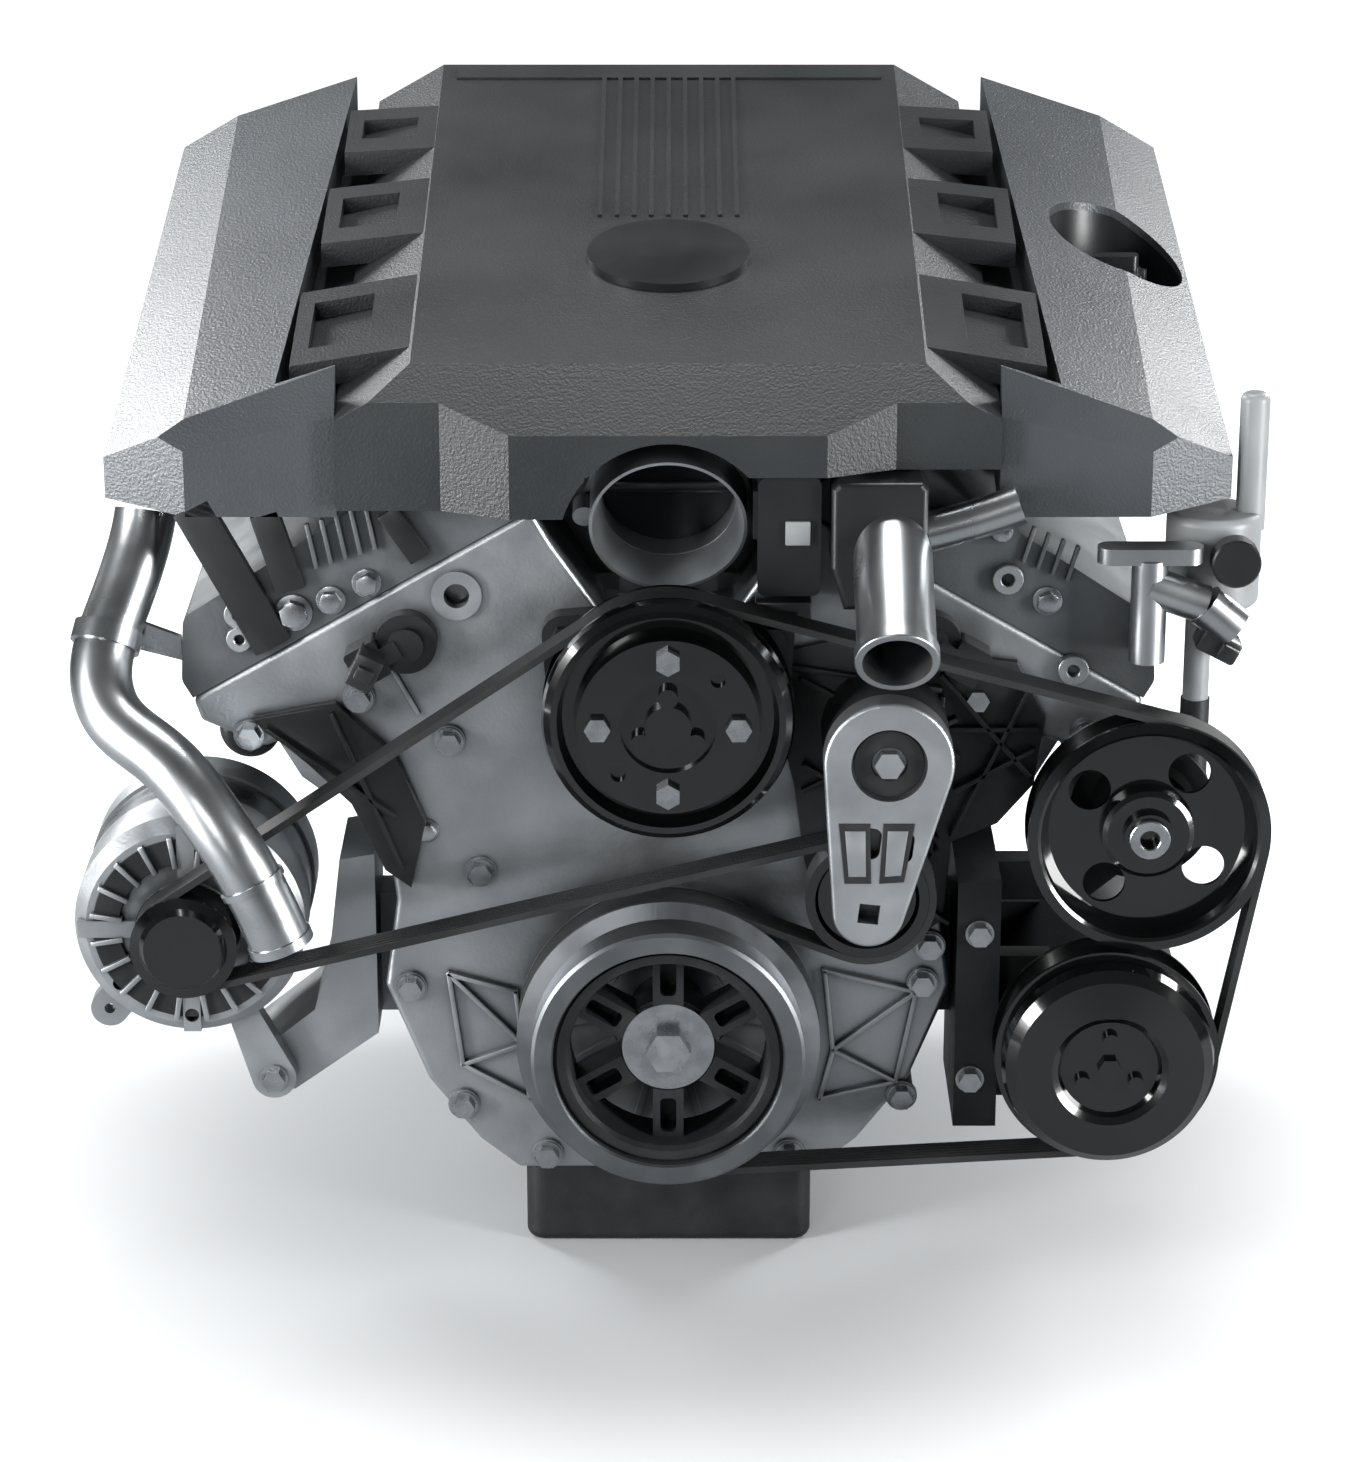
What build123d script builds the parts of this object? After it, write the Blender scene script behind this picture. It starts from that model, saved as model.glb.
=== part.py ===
"""A 60 degree V6 car engine, standing on its sump, as an assembly of separate pieces.

Frame: +Z up, the front of the engine (its belt drive) towards -Y, +X to the right as seen from the front.
Origin: the crankshaft's centreline where it crosses the rear face of the cylinder block.
"""

from build123d import *
import math
import os

os.makedirs("parts", exist_ok=True)

# Driving dimensions, in millimetres
block_length = 400.0
bank_angle = 30.0  # each bank leans this far from upright
bore_radius = 47.0
bore_spacing = 103.0
bank_stagger = 11.0  # half of it: right bores back, left bores forward
deck_height = 222.0  # crank axis to head joint, along the bank
head_height = 103.0  # deck to the cam cover's joint, which is the camshafts' centreline
cam_cover_height = 58.0
head_length = 372.0
intake_cam = -38.0  # across the bank, outwards
exhaust_cam = 98.0
cam_journal = 13.0
cam_gear = 43.0  # radius that the timing chain runs on; the crank's is half of it
chain_thickness = 5.0
chain_width = 8.0
cover_depth = 50.0  # timing cover, front to back
casting_wall = 6.0
running_clearance = 0.05
seat_gap = 0.3  # between neighbours that move against each other

# crankshaft
main_radius = 34.0
pin_radius = 28.0
throw = 42.8
counterweight_radius = 78.0
bulkhead = 26.0  # thickness of each main bearing wall
first_main = 15.0  # front face of the block to the first bearing wall
snout_radius = 15.0
flange_radius = 46.0
crank_bolt_radius = 8.0
flywheel_bolt_circle = 66.0
flywheel_bolts = 8
flywheel_tapping = 8.5

# belt drive, seen from the front: centre x, centre z and the radius that the belt's ribs run on
crank_pulley = (0.0, 0.0, 89.0)
pump_pulley = (0.0, 213.0, 71.5)
alternator_at = (-298.0, 63.0, 28.0)
steering_at = (293.0, 136.0, 70.0)
compressor_at = (272.0, -9.0, 64.5)
tensioner_at = (122.0, 94.0, 38.0)
tensioner_pivot = (133.0, 190.0)
belt_width = 21.4
belt_thickness = 4.3
rib_height = 2.0
rib_pitch = 3.56
rib_count = 6
belt_gap = 30.6  # timing cover to the belt's back edge
belt_play = 0.3  # between the standing belt and the turning pulleys
flange_height = 5.0  # a pulley's edge above the belt's rib line

# fluid hose from the reservoir down to the steering pump
hose_at = (325.0, -442.0)
hose_joint = 205.0

# engine cover
cover_tilt = 12.0  # the hood rises this many degrees towards the rear
hood_width = 310.0
hood_length = 440.0
hood_front_y = -440.0
hood_front_z = 417.0
skin = 3.5

# worked out from the above
block_front = -block_length
cover_front = block_front - cover_depth
belt_back = cover_front - belt_gap
belt_front = belt_back - belt_width
sin_bank = math.sin(math.radians(bank_angle))
cos_bank = math.cos(math.radians(bank_angle))
head_top = deck_height + head_height
cam_height = head_top
bay_length = bore_spacing - bulkhead
rear_face = 0.0
sides = {"left": -1, "right": 1}


def front(y):
    """The plane seen from the front of the engine at depth y: local x is X, local y is Z, normal -Y."""
    return Plane.XZ.offset(-y)


def bank_front(side, y):
    """As front, turned with a bank: local y runs up the bank's bore axis, local x across it."""
    return Plane(origin=(0, y, 0), x_dir=(cos_bank, 0, -side * sin_bank), z_dir=(0, -1, 0))


def bank_top(side, height, y):
    """The plane across a bank at a height along its bore axis: local x along X's side, normal up the bank."""
    return Plane(
        origin=(side * sin_bank * height, y, cos_bank * height),
        x_dir=(cos_bank, 0, -side * sin_bank),
        z_dir=(side * sin_bank, 0, cos_bank),
    )


def bank_point(side, across, up):
    """World (x, z) of a point across (outwards) and up a bank."""
    return (side * (sin_bank * up + cos_bank * across), cos_bank * up - sin_bank * across)


def mirrored(points):
    """Closed outline from its right half, given from the bottom middle round to the top middle."""
    return points + [(-x, z) for x, z in reversed(points) if x]


def on_side(side, point):
    """A point given for the right side, on either side of the engine."""
    return (side * point[0], point[1], point[2])


def main_y(i):
    """Middle of main bearing i, counted from the front."""
    return block_front + first_main + bulkhead / 2 + i * bore_spacing


def bore_y(side, i):
    """Middle of bore i of a bank: the two banks are staggered by the width of one connecting rod."""
    return block_front + first_main + bulkhead + bay_length / 2 + i * bore_spacing + side * bank_stagger


# Cylinder block
rail_width = 150.0
rail_z = -55.0
rail_height = 17.0
skirt_x = 128.0
flange_outer = 188.0
flange_depth = 14.0
bell_spacing = (304.0, 108.0)
bell_centre_z = 34.0
mount_spacing = (80.0, 50.0)
mount_at = (-200.0, 15.0)
tapped_radius = 4.25
half_section = [
    (0, rail_z),
    (rail_width, rail_z),
    (rail_width, rail_z + rail_height),
    (skirt_x, rail_z + rail_height + 8),
    (skirt_x, 62),
    bank_point(1, bore_radius + 28, deck_height),
    bank_point(1, -bore_radius - 25, deck_height),
    (0, 168),
]
with BuildPart() as block:
    with BuildSketch(front(rear_face)):
        Polygon(*mirrored(half_section), align=None)
    extrude(amount=block_length)
    with BuildSketch(front(rear_face)):
        Circle(flange_outer)
        with Locations((0, rail_z - flange_outer)):
            Rectangle(2 * flange_outer, 2 * flange_outer, mode=Mode.SUBTRACT)
    extrude(amount=flange_depth)
    for side in sides.values():
        for i in range(3):
            with BuildSketch(bank_top(side, deck_height, bore_y(side, i))):
                Circle(bore_radius)
            extrude(amount=-deck_height * 0.7, mode=Mode.SUBTRACT)
    for i in range(3):
        with BuildSketch(front(main_y(i) + bore_spacing - bulkhead / 2)):
            Circle(counterweight_radius + 5)
            with Locations((0, rail_z / 2)):
                Rectangle(2 * counterweight_radius + 10, -rail_z)
        extrude(amount=bay_length, mode=Mode.SUBTRACT)
    with BuildSketch(front(rear_face)):
        Circle(main_radius + running_clearance)
    extrude(amount=block_length, mode=Mode.SUBTRACT)
    with BuildSketch(front(rear_face)):
        Circle(flange_radius + 5)
    extrude(amount=-main_y(3) - bulkhead / 2, mode=Mode.SUBTRACT)
    with Locations(front(rear_face - flange_depth) * Location((0, bell_centre_z))):
        with GridLocations(*bell_spacing, 2, 2):
            Hole(5.5, depth=flange_depth * 3)
    for side in sides.values():
        rib_plane = Plane(origin=(side * skirt_x, 0, 0), x_dir=(0, 1, 0), z_dir=(side, 0, 0))
        with BuildSketch(rib_plane):
            with Locations((mount_at[0] + side * bank_stagger, side * mount_at[1])):
                with GridLocations((mount_spacing[0] + 60) / 3, 1, 4, 1):
                    Rectangle(6, 66)
        extrude(amount=5)
        with BuildSketch(rib_plane):
            with Locations((mount_at[0] + side * bank_stagger, side * mount_at[1])):
                with GridLocations(*mount_spacing, 2, 2):
                    Circle(11)
        extrude(amount=5)
        with BuildSketch(Plane(rib_plane.origin + (side * 5, 0, 0), x_dir=(0, 1, 0), z_dir=(side, 0, 0))):
            with Locations((mount_at[0] + side * bank_stagger, side * mount_at[1])):
                with GridLocations(*mount_spacing, 2, 2):
                    Circle(tapped_radius)
        extrude(amount=-25, mode=Mode.SUBTRACT)
block.part.label = "block"
export_step(block.part, "parts/block.step")

# Crankshaft
web = 13.0
pin_length = (bay_length - 3 * web + 6) / 2
sprocket_y = block_front - 6.0
with BuildPart() as crankshaft:
    for i in range(4):
        with BuildSketch(front(main_y(i) + bulkhead / 2)):
            Circle(main_radius)
        extrude(amount=bulkhead)
    for i in range(3):
        bay_rear = main_y(i + 1) - bulkhead / 2
        for j, angle in enumerate((120 * i + 60, 120 * i)):
            pin_at = (throw * math.cos(math.radians(angle)), throw * math.sin(math.radians(angle)))
            web_rear = (bay_rear, main_y(i) + bulkhead / 2 + web)[j]
            with BuildSketch(front(web_rear)):
                Circle(main_radius + 4)
                with Locations(pin_at):
                    Circle(pin_radius + 7)
                make_hull()
            extrude(amount=web)
            with BuildSketch(front(web_rear)):
                Circle(counterweight_radius)
                with Locations(Location((pin_at[0], pin_at[1], 0), angle)):
                    Rectangle(2 * throw + 24, 3 * counterweight_radius, mode=Mode.SUBTRACT)
            extrude(amount=web)
            with BuildSketch(front(bay_rear - web - j * (pin_length + web - 6))):
                with Locations(pin_at):
                    Circle(pin_radius)
            extrude(amount=pin_length)
        with BuildSketch(front(bay_rear - web - pin_length)):
            for angle in (120 * i + 60, 120 * i):
                with Locations(
                    (throw * math.cos(math.radians(angle)), throw * math.sin(math.radians(angle)))
                ):
                    Circle(pin_radius + 6)
            make_hull()
        extrude(amount=web - 6)
    with BuildSketch(front(main_y(0) - bulkhead / 2)):
        Circle(snout_radius)
    extrude(amount=main_y(0) - bulkhead / 2 - belt_front - 3)
    with BuildSketch(front(rear_face)):
        Circle(flange_radius)
        with PolarLocations(flywheel_bolt_circle / 2, flywheel_bolts):
            Circle(flywheel_tapping / 2, mode=Mode.SUBTRACT)
    extrude(amount=rear_face - main_y(3) - bulkhead / 2)
    with BuildSketch(front(belt_front - 3)):
        Circle(crank_bolt_radius + running_clearance)
    extrude(amount=-45, mode=Mode.SUBTRACT)
crankshaft.part.label = "crankshaft"
export_step(crankshaft.part, "parts/crankshaft.step")


# Pistons with their pins, standing at half stroke
piston_height = 55.0
piston_crown = 173.0
pin_up = piston_crown - 31
wrist_pin = 11.0
with BuildPart() as pistons:
    for side in sides.values():
        for i in range(3):
            y = bore_y(side, i)
            with BuildSketch(bank_top(side, piston_crown, y)):
                Circle(bore_radius - running_clearance)
            extrude(amount=-piston_height)
            with BuildSketch(bank_top(side, piston_crown - piston_height, y)):
                Rectangle(64, 30)
            extrude(amount=piston_height - 18, mode=Mode.SUBTRACT)
            with BuildSketch(bank_front(side, y + bore_radius)):
                with Locations((0, pin_up)):
                    Circle(wrist_pin + running_clearance)
            extrude(amount=2 * bore_radius, mode=Mode.SUBTRACT)
    for side in sides.values():
        for i in range(3):
            with BuildSketch(bank_front(side, bore_y(side, i) + bore_radius - 12)):
                with Locations((0, pin_up)):
                    Circle(wrist_pin)
                    Circle(wrist_pin - 4, mode=Mode.SUBTRACT)
            extrude(amount=2 * bore_radius - 24)
pistons.part.label = "pistons"
export_step(pistons.part, "parts/pistons.step")

# Cylinder heads
intake_face = -92.0
exhaust_face = 132.0
joint_outer = 150.0
head_rear = block_front + head_length
well_radius = 11.0
trough = 24.0
cams = (intake_cam, exhaust_cam)
head_points = [
    (intake_face, deck_height),
    (bore_radius + 80, deck_height),
    (exhaust_face, deck_height + 12),
    (exhaust_face, head_top - 28),
    (joint_outer, head_top - 14),
    (joint_outer, head_top),
    (intake_face, head_top),
]


def bank_polygon(side, points):
    """Closed outline from (across, up) points of a bank, for a sketch on bank_front."""
    Polygon(*[(side * across, up) for across, up in points], align=None)


for name, side in sides.items():
    with BuildPart() as head:
        with BuildSketch(bank_front(side, head_rear)):
            bank_polygon(side, head_points)
        extrude(amount=head_length)
        for cam in cams:
            with BuildSketch(bank_front(side, head_rear - 6)):
                with Locations((side * cam, cam_height)):
                    Circle(cam_journal + running_clearance)
            extrude(amount=head_length, mode=Mode.SUBTRACT)
            for i in range(3):
                with BuildSketch(bank_front(side, bore_y(side, i) + bore_spacing / 2 - 8)):
                    with Locations((side * cam, cam_height)):
                        Circle(trough)
                extrude(amount=bore_spacing - 16, mode=Mode.SUBTRACT)
        for i in range(3):
            with BuildSketch(bank_top(side, head_top, bore_y(side, i))):
                Circle(well_radius)
            extrude(amount=-head_height + 20, mode=Mode.SUBTRACT)
            with BuildSketch(bank_top(side, deck_height, bore_y(side, i))):
                Circle(bore_radius - 4)
            extrude(amount=9, taper=25, mode=Mode.SUBTRACT)
            for face, up in ((intake_face, deck_height + 66), (exhaust_face, deck_height + 44)):
                with BuildSketch(Plane(
                    origin=(bank_point(side, face, up)[0], bore_y(side, i), bank_point(side, face, up)[1]),
                    x_dir=(0, 1, 0),
                    z_dir=(math.copysign(1, face) * side * cos_bank, 0, -math.copysign(1, face) * sin_bank),
                )):
                    SlotOverall(52, 30)
                extrude(amount=-30, mode=Mode.SUBTRACT)
    head.part.label = name + "_head"
    export_step(head.part, "parts/" + name + "_head.step")

# Camshafts with lobes, gear and phaser
cam_rear = head_rear - 8
phaser_radius = cam_gear - 7
rows = {"left": 0, "right": 1}
row_pitch = chain_width + 3
first_row = block_front - 3.0
linking_row = first_row - 2 * row_pitch


def chain_rim(radius):
    """Radius of the plain rim under a chain that runs at the given radius."""
    return radius - chain_thickness / 2 - seat_gap


link_gear = cam_gear - 5
for name, side in sides.items():
    for cam_name, cam in (("intake", intake_cam), ("exhaust", exhaust_cam)):
        at = (side * cam, cam_height)
        with BuildPart() as camshaft:
            with BuildSketch(bank_front(side, cam_rear)):
                with Locations(at):
                    Circle(cam_journal)
            extrude(amount=cam_rear - linking_row + row_pitch)
            for i in range(3):
                for k in (-1, 1):
                    with BuildSketch(bank_front(side, bore_y(side, i) + k * 18 + 8)):
                        with Locations(at):
                            Circle(cam_journal + 2)
                        with Locations(
                            Location((at[0], at[1], 0)) * Location(
                                (0, 0, 0), 120.0 * i + 40
                            ) * Location((9, 0))
                        ):
                            Circle(7)
                        make_hull()
                    extrude(amount=16)
            if cam_name == "intake":
                with BuildSketch(bank_front(side, first_row - rows[name] * row_pitch)):
                    with Locations(at):
                        Circle(chain_rim(cam_gear))
                extrude(amount=chain_width)
            with BuildSketch(bank_front(side, linking_row)):
                with Locations(at):
                    Circle(chain_rim(link_gear))
            extrude(amount=chain_width)
            with BuildSketch(bank_front(side, linking_row - chain_width)):
                with Locations(at):
                    Circle(phaser_radius)
                    with PolarLocations(phaser_radius - 9, 5):
                        Circle(3.4, mode=Mode.SUBTRACT)
            extrude(amount=7)
        camshaft.part.label = name + "_" + cam_name + "_camshaft"
        export_step(camshaft.part, "parts/" + name + "_" + cam_name + "_camshaft.step")

# Crankshaft gear: two rows of plain rims under the chains
with BuildPart() as crank_sprocket:
    with BuildSketch(front(first_row)):
        Circle(chain_rim(cam_gear / 2))
        Circle(snout_radius, mode=Mode.SUBTRACT)
    extrude(amount=2 * row_pitch)
crank_sprocket.part.label = "crank_sprocket"
export_step(crank_sprocket.part, "parts/crank_sprocket.step")


def chain_loop(a, radius_a, b, radius_b):
    """Closed band around two round gears: the hull of two circles less the hull of two smaller ones."""
    for grow, mode in ((chain_thickness / 2, Mode.ADD), (-chain_thickness / 2, Mode.SUBTRACT)):
        with BuildSketch(mode=Mode.PRIVATE) as loop:
            with Locations(a):
                Circle(radius_a + grow)
            with Locations(b):
                Circle(radius_b + grow)
            make_hull()
        add(loop.sketch, mode=mode)


with BuildPart() as timing_chains:
    for name, side in sides.items():
        with BuildSketch(bank_front(side, first_row - rows[name] * row_pitch)):
            chain_loop((0, 0), cam_gear / 2, (side * intake_cam, cam_height), cam_gear)
        extrude(amount=chain_width)
        with BuildSketch(bank_front(side, linking_row)):
            chain_loop(
                (side * intake_cam, cam_height), link_gear, (side * exhaust_cam, cam_height), link_gear
            )
        extrude(amount=chain_width)
timing_chains.part.label = "timing_chains"
export_step(timing_chains.part, "parts/timing_chains.step")

# Cam covers, with wells for the coils
cam_cover_front = cover_front + 2.0
cover_top = head_top + cam_cover_height
cam_cover_length = head_rear - cam_cover_front
coil_radius = 10.0


def cam_cover_points(bottom, inset):
    return [
        (intake_face + inset, bottom),
        (joint_outer - inset, bottom),
        (joint_outer - inset, head_top + 13 - inset / 2),
        (exhaust_cam + 30 - inset / 2, cover_top - 11 - inset),
        (intake_cam - 32 + inset / 2, cover_top - inset),
        (intake_face + inset, head_top + 20 - inset / 2),
    ]


filler_at = (279.0, -203.0)
filler_top = 404.0
filler_radius = 17.0
filler_bore = 13.0
cap_top = 424.0
for name, side in sides.items():
    with BuildPart() as cam_cover:
        with BuildSketch(bank_front(side, head_rear)):
            bank_polygon(side, cam_cover_points(head_top, 0))
        extrude(amount=cam_cover_length)
        fillet(
            cam_cover.edges().filter_by(Axis.Y).sort_by(
                lambda e: (e.center() - Vector(0, e.center().Y, 0)).length
            )[-3:],
            9,
        )
        with BuildSketch(bank_front(side, head_rear - casting_wall)):
            bank_polygon(side, cam_cover_points(head_top - 5, casting_wall))
        extrude(amount=cam_cover_length - 2 * casting_wall, mode=Mode.SUBTRACT)
        for i in range(3):
            with BuildSketch(bank_top(side, head_top, bore_y(side, i))):
                Circle(well_radius + 6)
            extrude(amount=cam_cover_height - casting_wall)
            with BuildSketch(bank_top(side, head_top, bore_y(side, i))):
                Circle(well_radius)
            extrude(amount=cam_cover_height + 20, mode=Mode.SUBTRACT)
        if side > 0:
            with BuildSketch(Plane.XY.offset(filler_top)):
                with Locations(filler_at):
                    Circle(filler_radius)
            extrude(amount=256 - filler_top)
            with BuildSketch(Plane.XY.offset(filler_top)):
                with Locations(filler_at):
                    Circle(filler_bore)
            extrude(amount=-filler_top + 235, mode=Mode.SUBTRACT)
    cam_cover.part.label = name + "_cam_cover"
    export_step(cam_cover.part, "parts/" + name + "_cam_cover.step")

# Ignition coils, one in each well
with BuildPart() as ignition_coils:
    for side in sides.values():
        for i in range(3):
            with BuildSketch(bank_top(side, cover_top - 2, bore_y(side, i))):
                Circle(coil_radius)
            extrude(amount=-cam_cover_height - head_height + 28)
            with BuildSketch(bank_top(side, cover_top - 2, bore_y(side, i))):
                with Locations((side * 8, 0)):
                    RectangleRounded(52, 30, 7)
            extrude(amount=16)
ignition_coils.part.label = "ignition_coils"
export_step(ignition_coils.part, "parts/ignition_coils.step")


def half_profile(centre, points):
    """Face beside an axis parallel to Y through centre (x, z), from (radius, y) points."""
    with BuildSketch(Plane((centre[0], 0, centre[1])), mode=Mode.PRIVATE) as profile:
        Polygon(*points, align=None)
    return profile.sketch


def axis_at(centre):
    return Axis((centre[0], 0, centre[1]), (0, 1, 0))


# Timing cover: the chain case with an arm to each bank
cover_half = [
    (0, -112),
    (95, -112),
    (120, -92),
    (152, -50),
    (178, 15),
    (170, 73),
    (178, 140),
    bank_point(1, 84, head_top - 57),
    bank_point(1, exhaust_cam + 30, head_top - 49),
    bank_point(1, joint_outer + 3, head_top - 15),
    bank_point(1, joint_outer, head_top),
    bank_point(1, intake_face, head_top),
    bank_point(1, intake_face, head_top - 25),
    (40, 262),
    (0, 255),
]
hub_radius = 24.0
bolt_hole = 3.4
cover_bosses = [
    (-77, -101),
    (77, -101),
    (-130, -66),
    (148, -60),
    (-162, 15),
    (160, 18),
    (-117, 93),
    (164, 43),
    bank_point(-1, 26.9, deck_height + 1.4),
    bank_point(-1, 60.5, deck_height + 53.1),
    bank_point(1, 60.5, deck_height + 53.1),
    bank_point(-1, 131.4, deck_height + 66.3),
    bank_point(1, 131.4, deck_height + 66.3),
]
eye_bosses = [bank_point(-1, -25.3, head_top - 23.2)]
with BuildPart() as front_cover:
    with BuildSketch(front(block_front)):
        Polygon(*mirrored(cover_half), align=None)
        fillet(vertices(), 5)
    extrude(amount=cover_depth)
    fillet(front_cover.faces().sort_by(Axis.Y)[0].edges(), 4)
    with BuildSketch(front(block_front)):
        offset(
            Polygon(*mirrored(cover_half), align=None, mode=Mode.PRIVATE),
            -casting_wall,
            kind=Kind.INTERSECTION,
        )
    extrude(amount=cover_depth - casting_wall, mode=Mode.SUBTRACT)
    for side in sides.values():
        for cam, radius in ((intake_cam, cam_gear + 4.5), (exhaust_cam, link_gear + 4.5)):
            with BuildSketch(bank_front(side, block_front)):
                with Locations((side * cam, cam_height)):
                    Circle(radius)
            extrude(amount=cover_depth - casting_wall, mode=Mode.SUBTRACT)
    with BuildSketch(front(block_front)):
        with Locations(*cover_bosses):
            Circle(8)
    extrude(amount=cover_depth)
    with BuildSketch(front(cover_front)):
        with Locations(*cover_bosses):
            Circle(10)
        with Locations(*eye_bosses):
            Circle(15.5)
        with Locations((0, 0)):
            Circle(hub_radius + 14)
    extrude(amount=3)
    with BuildSketch(front(cover_front - 3)):
        for side in sides.values():
            for k in range(7):
                angle = math.radians(-75 + k * 22)
                with Locations(
                    Location(
                        (side * 62 * math.cos(angle), 62 * math.sin(angle), 0), math.degrees(angle) * side
                    )
                ):
                    Rectangle(46, 3.5)
    extrude(amount=-4)
    with BuildSketch(front(cover_front - 3)):
        with Locations(*eye_bosses):
            Circle(7.8)
        with Locations((0, 0)):
            Circle(hub_radius + seat_gap)
        with Locations(*cover_bosses):
            Circle(bolt_hole)
    extrude(amount=-cover_depth - 3, mode=Mode.SUBTRACT)
front_cover.part.label = "front_cover"
export_step(front_cover.part, "parts/front_cover.step")

# Upper oil pan and sump
pan_bottom = -112.0
pan_rear = -14.0
sump_bottom = -190.0
sump_size = (186.0, 246.0)
sump_y = -277.0
with BuildPart() as upper_oil_pan:
    with BuildSketch(front(pan_rear)):
        Polygon(
            *mirrored(
                [
                    (0, pan_bottom),
                    (112, pan_bottom),
                    (126, -75),
                    (rail_width, -70),
                    (rail_width, rail_z),
                    (0, rail_z),
                ]
            ),
            align=None,
        )
    extrude(amount=block_length + pan_rear)
    with BuildSketch(Plane((0, (pan_rear + block_front) / 2, rail_z))):
        Rectangle(2 * 106, block_length + pan_rear - 26)
    extrude(amount=pan_bottom - rail_z + casting_wall, mode=Mode.SUBTRACT)
    with BuildSketch(Plane((0, sump_y, rail_z))):
        Rectangle(sump_size[0] - 26, sump_size[1] - 26)
    extrude(amount=pan_bottom - rail_z, mode=Mode.SUBTRACT)
upper_oil_pan.part.label = "upper_oil_pan"
export_step(upper_oil_pan.part, "parts/upper_oil_pan.step")

with BuildPart() as sump:
    with BuildSketch(Plane((0, sump_y, sump_bottom))):
        RectangleRounded(*sump_size, 12)
    extrude(amount=pan_bottom - sump_bottom)
    fillet(sump.faces().sort_by(Axis.Z)[0].edges(), 7)
    with BuildSketch(Plane((0, sump_y, pan_bottom))):
        RectangleRounded(sump_size[0] + 20, sump_size[1], 12)
    extrude(amount=-6)
    with BuildSketch(Plane((0, sump_y, sump_bottom + 3))):
        RectangleRounded(sump_size[0] - 26, sump_size[1] - 26, 9)
    extrude(amount=pan_bottom - sump_bottom, mode=Mode.SUBTRACT)
sump.part.label = "sump"
export_step(sump.part, "parts/sump.step")

# Crankshaft damper: hub with six spokes, rubber ring and heavy outer ring with the belt's rim
groove_back = belt_back + belt_play
groove_front = belt_front - belt_play
rim_edge = 2.4


def belt_rim(radius, flange=flange_height):
    """(radius, y) outline of a pulley's rim, from its rear edge over the belt's seat to its front edge."""
    return [
        (radius + flange, groove_back + rim_edge),
        (radius + flange, groove_back),
        (radius, groove_back),
        (radius, groove_front),
        (radius + flange, groove_front),
        (radius + flange, groove_front - rim_edge),
    ]


washer_y = -506.0
spoke_count = 6
rubber_inner = 68.5
rubber_outer = 71.0
ring_outer = 84.3
ring_front = -533.0
crank_at = crank_pulley[:2]
with BuildPart() as damper_hub:
    revolve(
        half_profile(
            crank_at,
            [
                (snout_radius, linking_row),
                (hub_radius, linking_row),
                (hub_radius, groove_back),
                (30, groove_back - 4),
                (30, washer_y),
                (snout_radius, washer_y),
            ],
        ),
        axis=axis_at(crank_at),
    )
    revolve(
        half_profile(
            crank_at, [(61, -486), (rubber_inner, -486), (rubber_inner, -528), (63, -528), (61, -524)]
        ),
        axis=axis_at(crank_at),
    )
    with BuildSketch(front(-488)):
        with PolarLocations(46, spoke_count, start_angle=90):
            Rectangle(36, 19)
        Circle(29, mode=Mode.SUBTRACT)
    extrude(amount=24)
    with BuildSketch(front(-512)):
        with PolarLocations(46, spoke_count, start_angle=90):
            RectangleRounded(23, 10, 3)
    extrude(amount=-17, mode=Mode.SUBTRACT)
damper_hub.part.label = "damper_hub"
export_step(damper_hub.part, "parts/damper_hub.step")

with BuildPart() as damper_rubber:
    revolve(
        half_profile(
            crank_at,
            [(rubber_inner, -490), (rubber_outer, -490), (rubber_outer, -524), (rubber_inner, -524)],
        ),
        axis=axis_at(crank_at),
    )
damper_rubber.part.label = "damper_rubber"
export_step(damper_rubber.part, "parts/damper_rubber.step")

with BuildPart() as damper_ring:
    revolve(
        half_profile(
            crank_at,
            [(rubber_outer, groove_back + rim_edge)]
            + belt_rim(crank_pulley[2])
            + [
                (ring_outer, groove_front - 6),
                (ring_outer, ring_front + 2),
                (ring_outer - 2, ring_front),
                (rubber_outer + 1, ring_front),
                (rubber_outer, ring_front + 2),
            ],
        ),
        axis=axis_at(crank_at),
    )
damper_ring.part.label = "damper_ring"
export_step(damper_ring.part, "parts/damper_ring.step")

with BuildPart() as crank_bolt:
    with BuildSketch(front(washer_y)):
        Circle(28.5)
    extrude(amount=5)
    with BuildSketch(front(washer_y - 5)):
        RegularPolygon(14, 6)
    extrude(amount=11)
    with BuildSketch(front(washer_y)):
        Circle(crank_bolt_radius)
    extrude(amount=-40)
crank_bolt.part.label = "crank_bolt"
export_step(crank_bolt.part, "parts/crank_bolt.step")

# Water pump with its pulley
pump_at = pump_pulley[:2]
pump_shaft = 8.0
pump_flange_front = -516.0
pump_bolt_circle = 84.8
with BuildPart() as water_pump_housing:
    with BuildSketch(front(cover_front)):
        with Locations(pump_at):
            Circle(57)
        with Locations((-64, 252), (64, 252), (-58, 172), (58, 172)):
            Circle(13)
        make_hull()
    extrude(amount=14)
    with BuildSketch(front(cover_front - 14)):
        with Locations(pump_at):
            Circle(48)
    extrude(amount=12, taper=20)
    with BuildSketch(front(cover_front)):
        with Locations(pump_at):
            Circle(36)
    extrude(amount=18, mode=Mode.SUBTRACT)
    with BuildSketch(front(cover_front)):
        with Locations(pump_at):
            Circle(pump_shaft + running_clearance)
    extrude(amount=60, mode=Mode.SUBTRACT)
    with BuildSketch(front(cover_front - 14)):
        with Locations((-64, 252), (64, 252), (-58, 172), (58, 172)):
            RegularPolygon(7.2, 6)
    extrude(amount=6)
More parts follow.
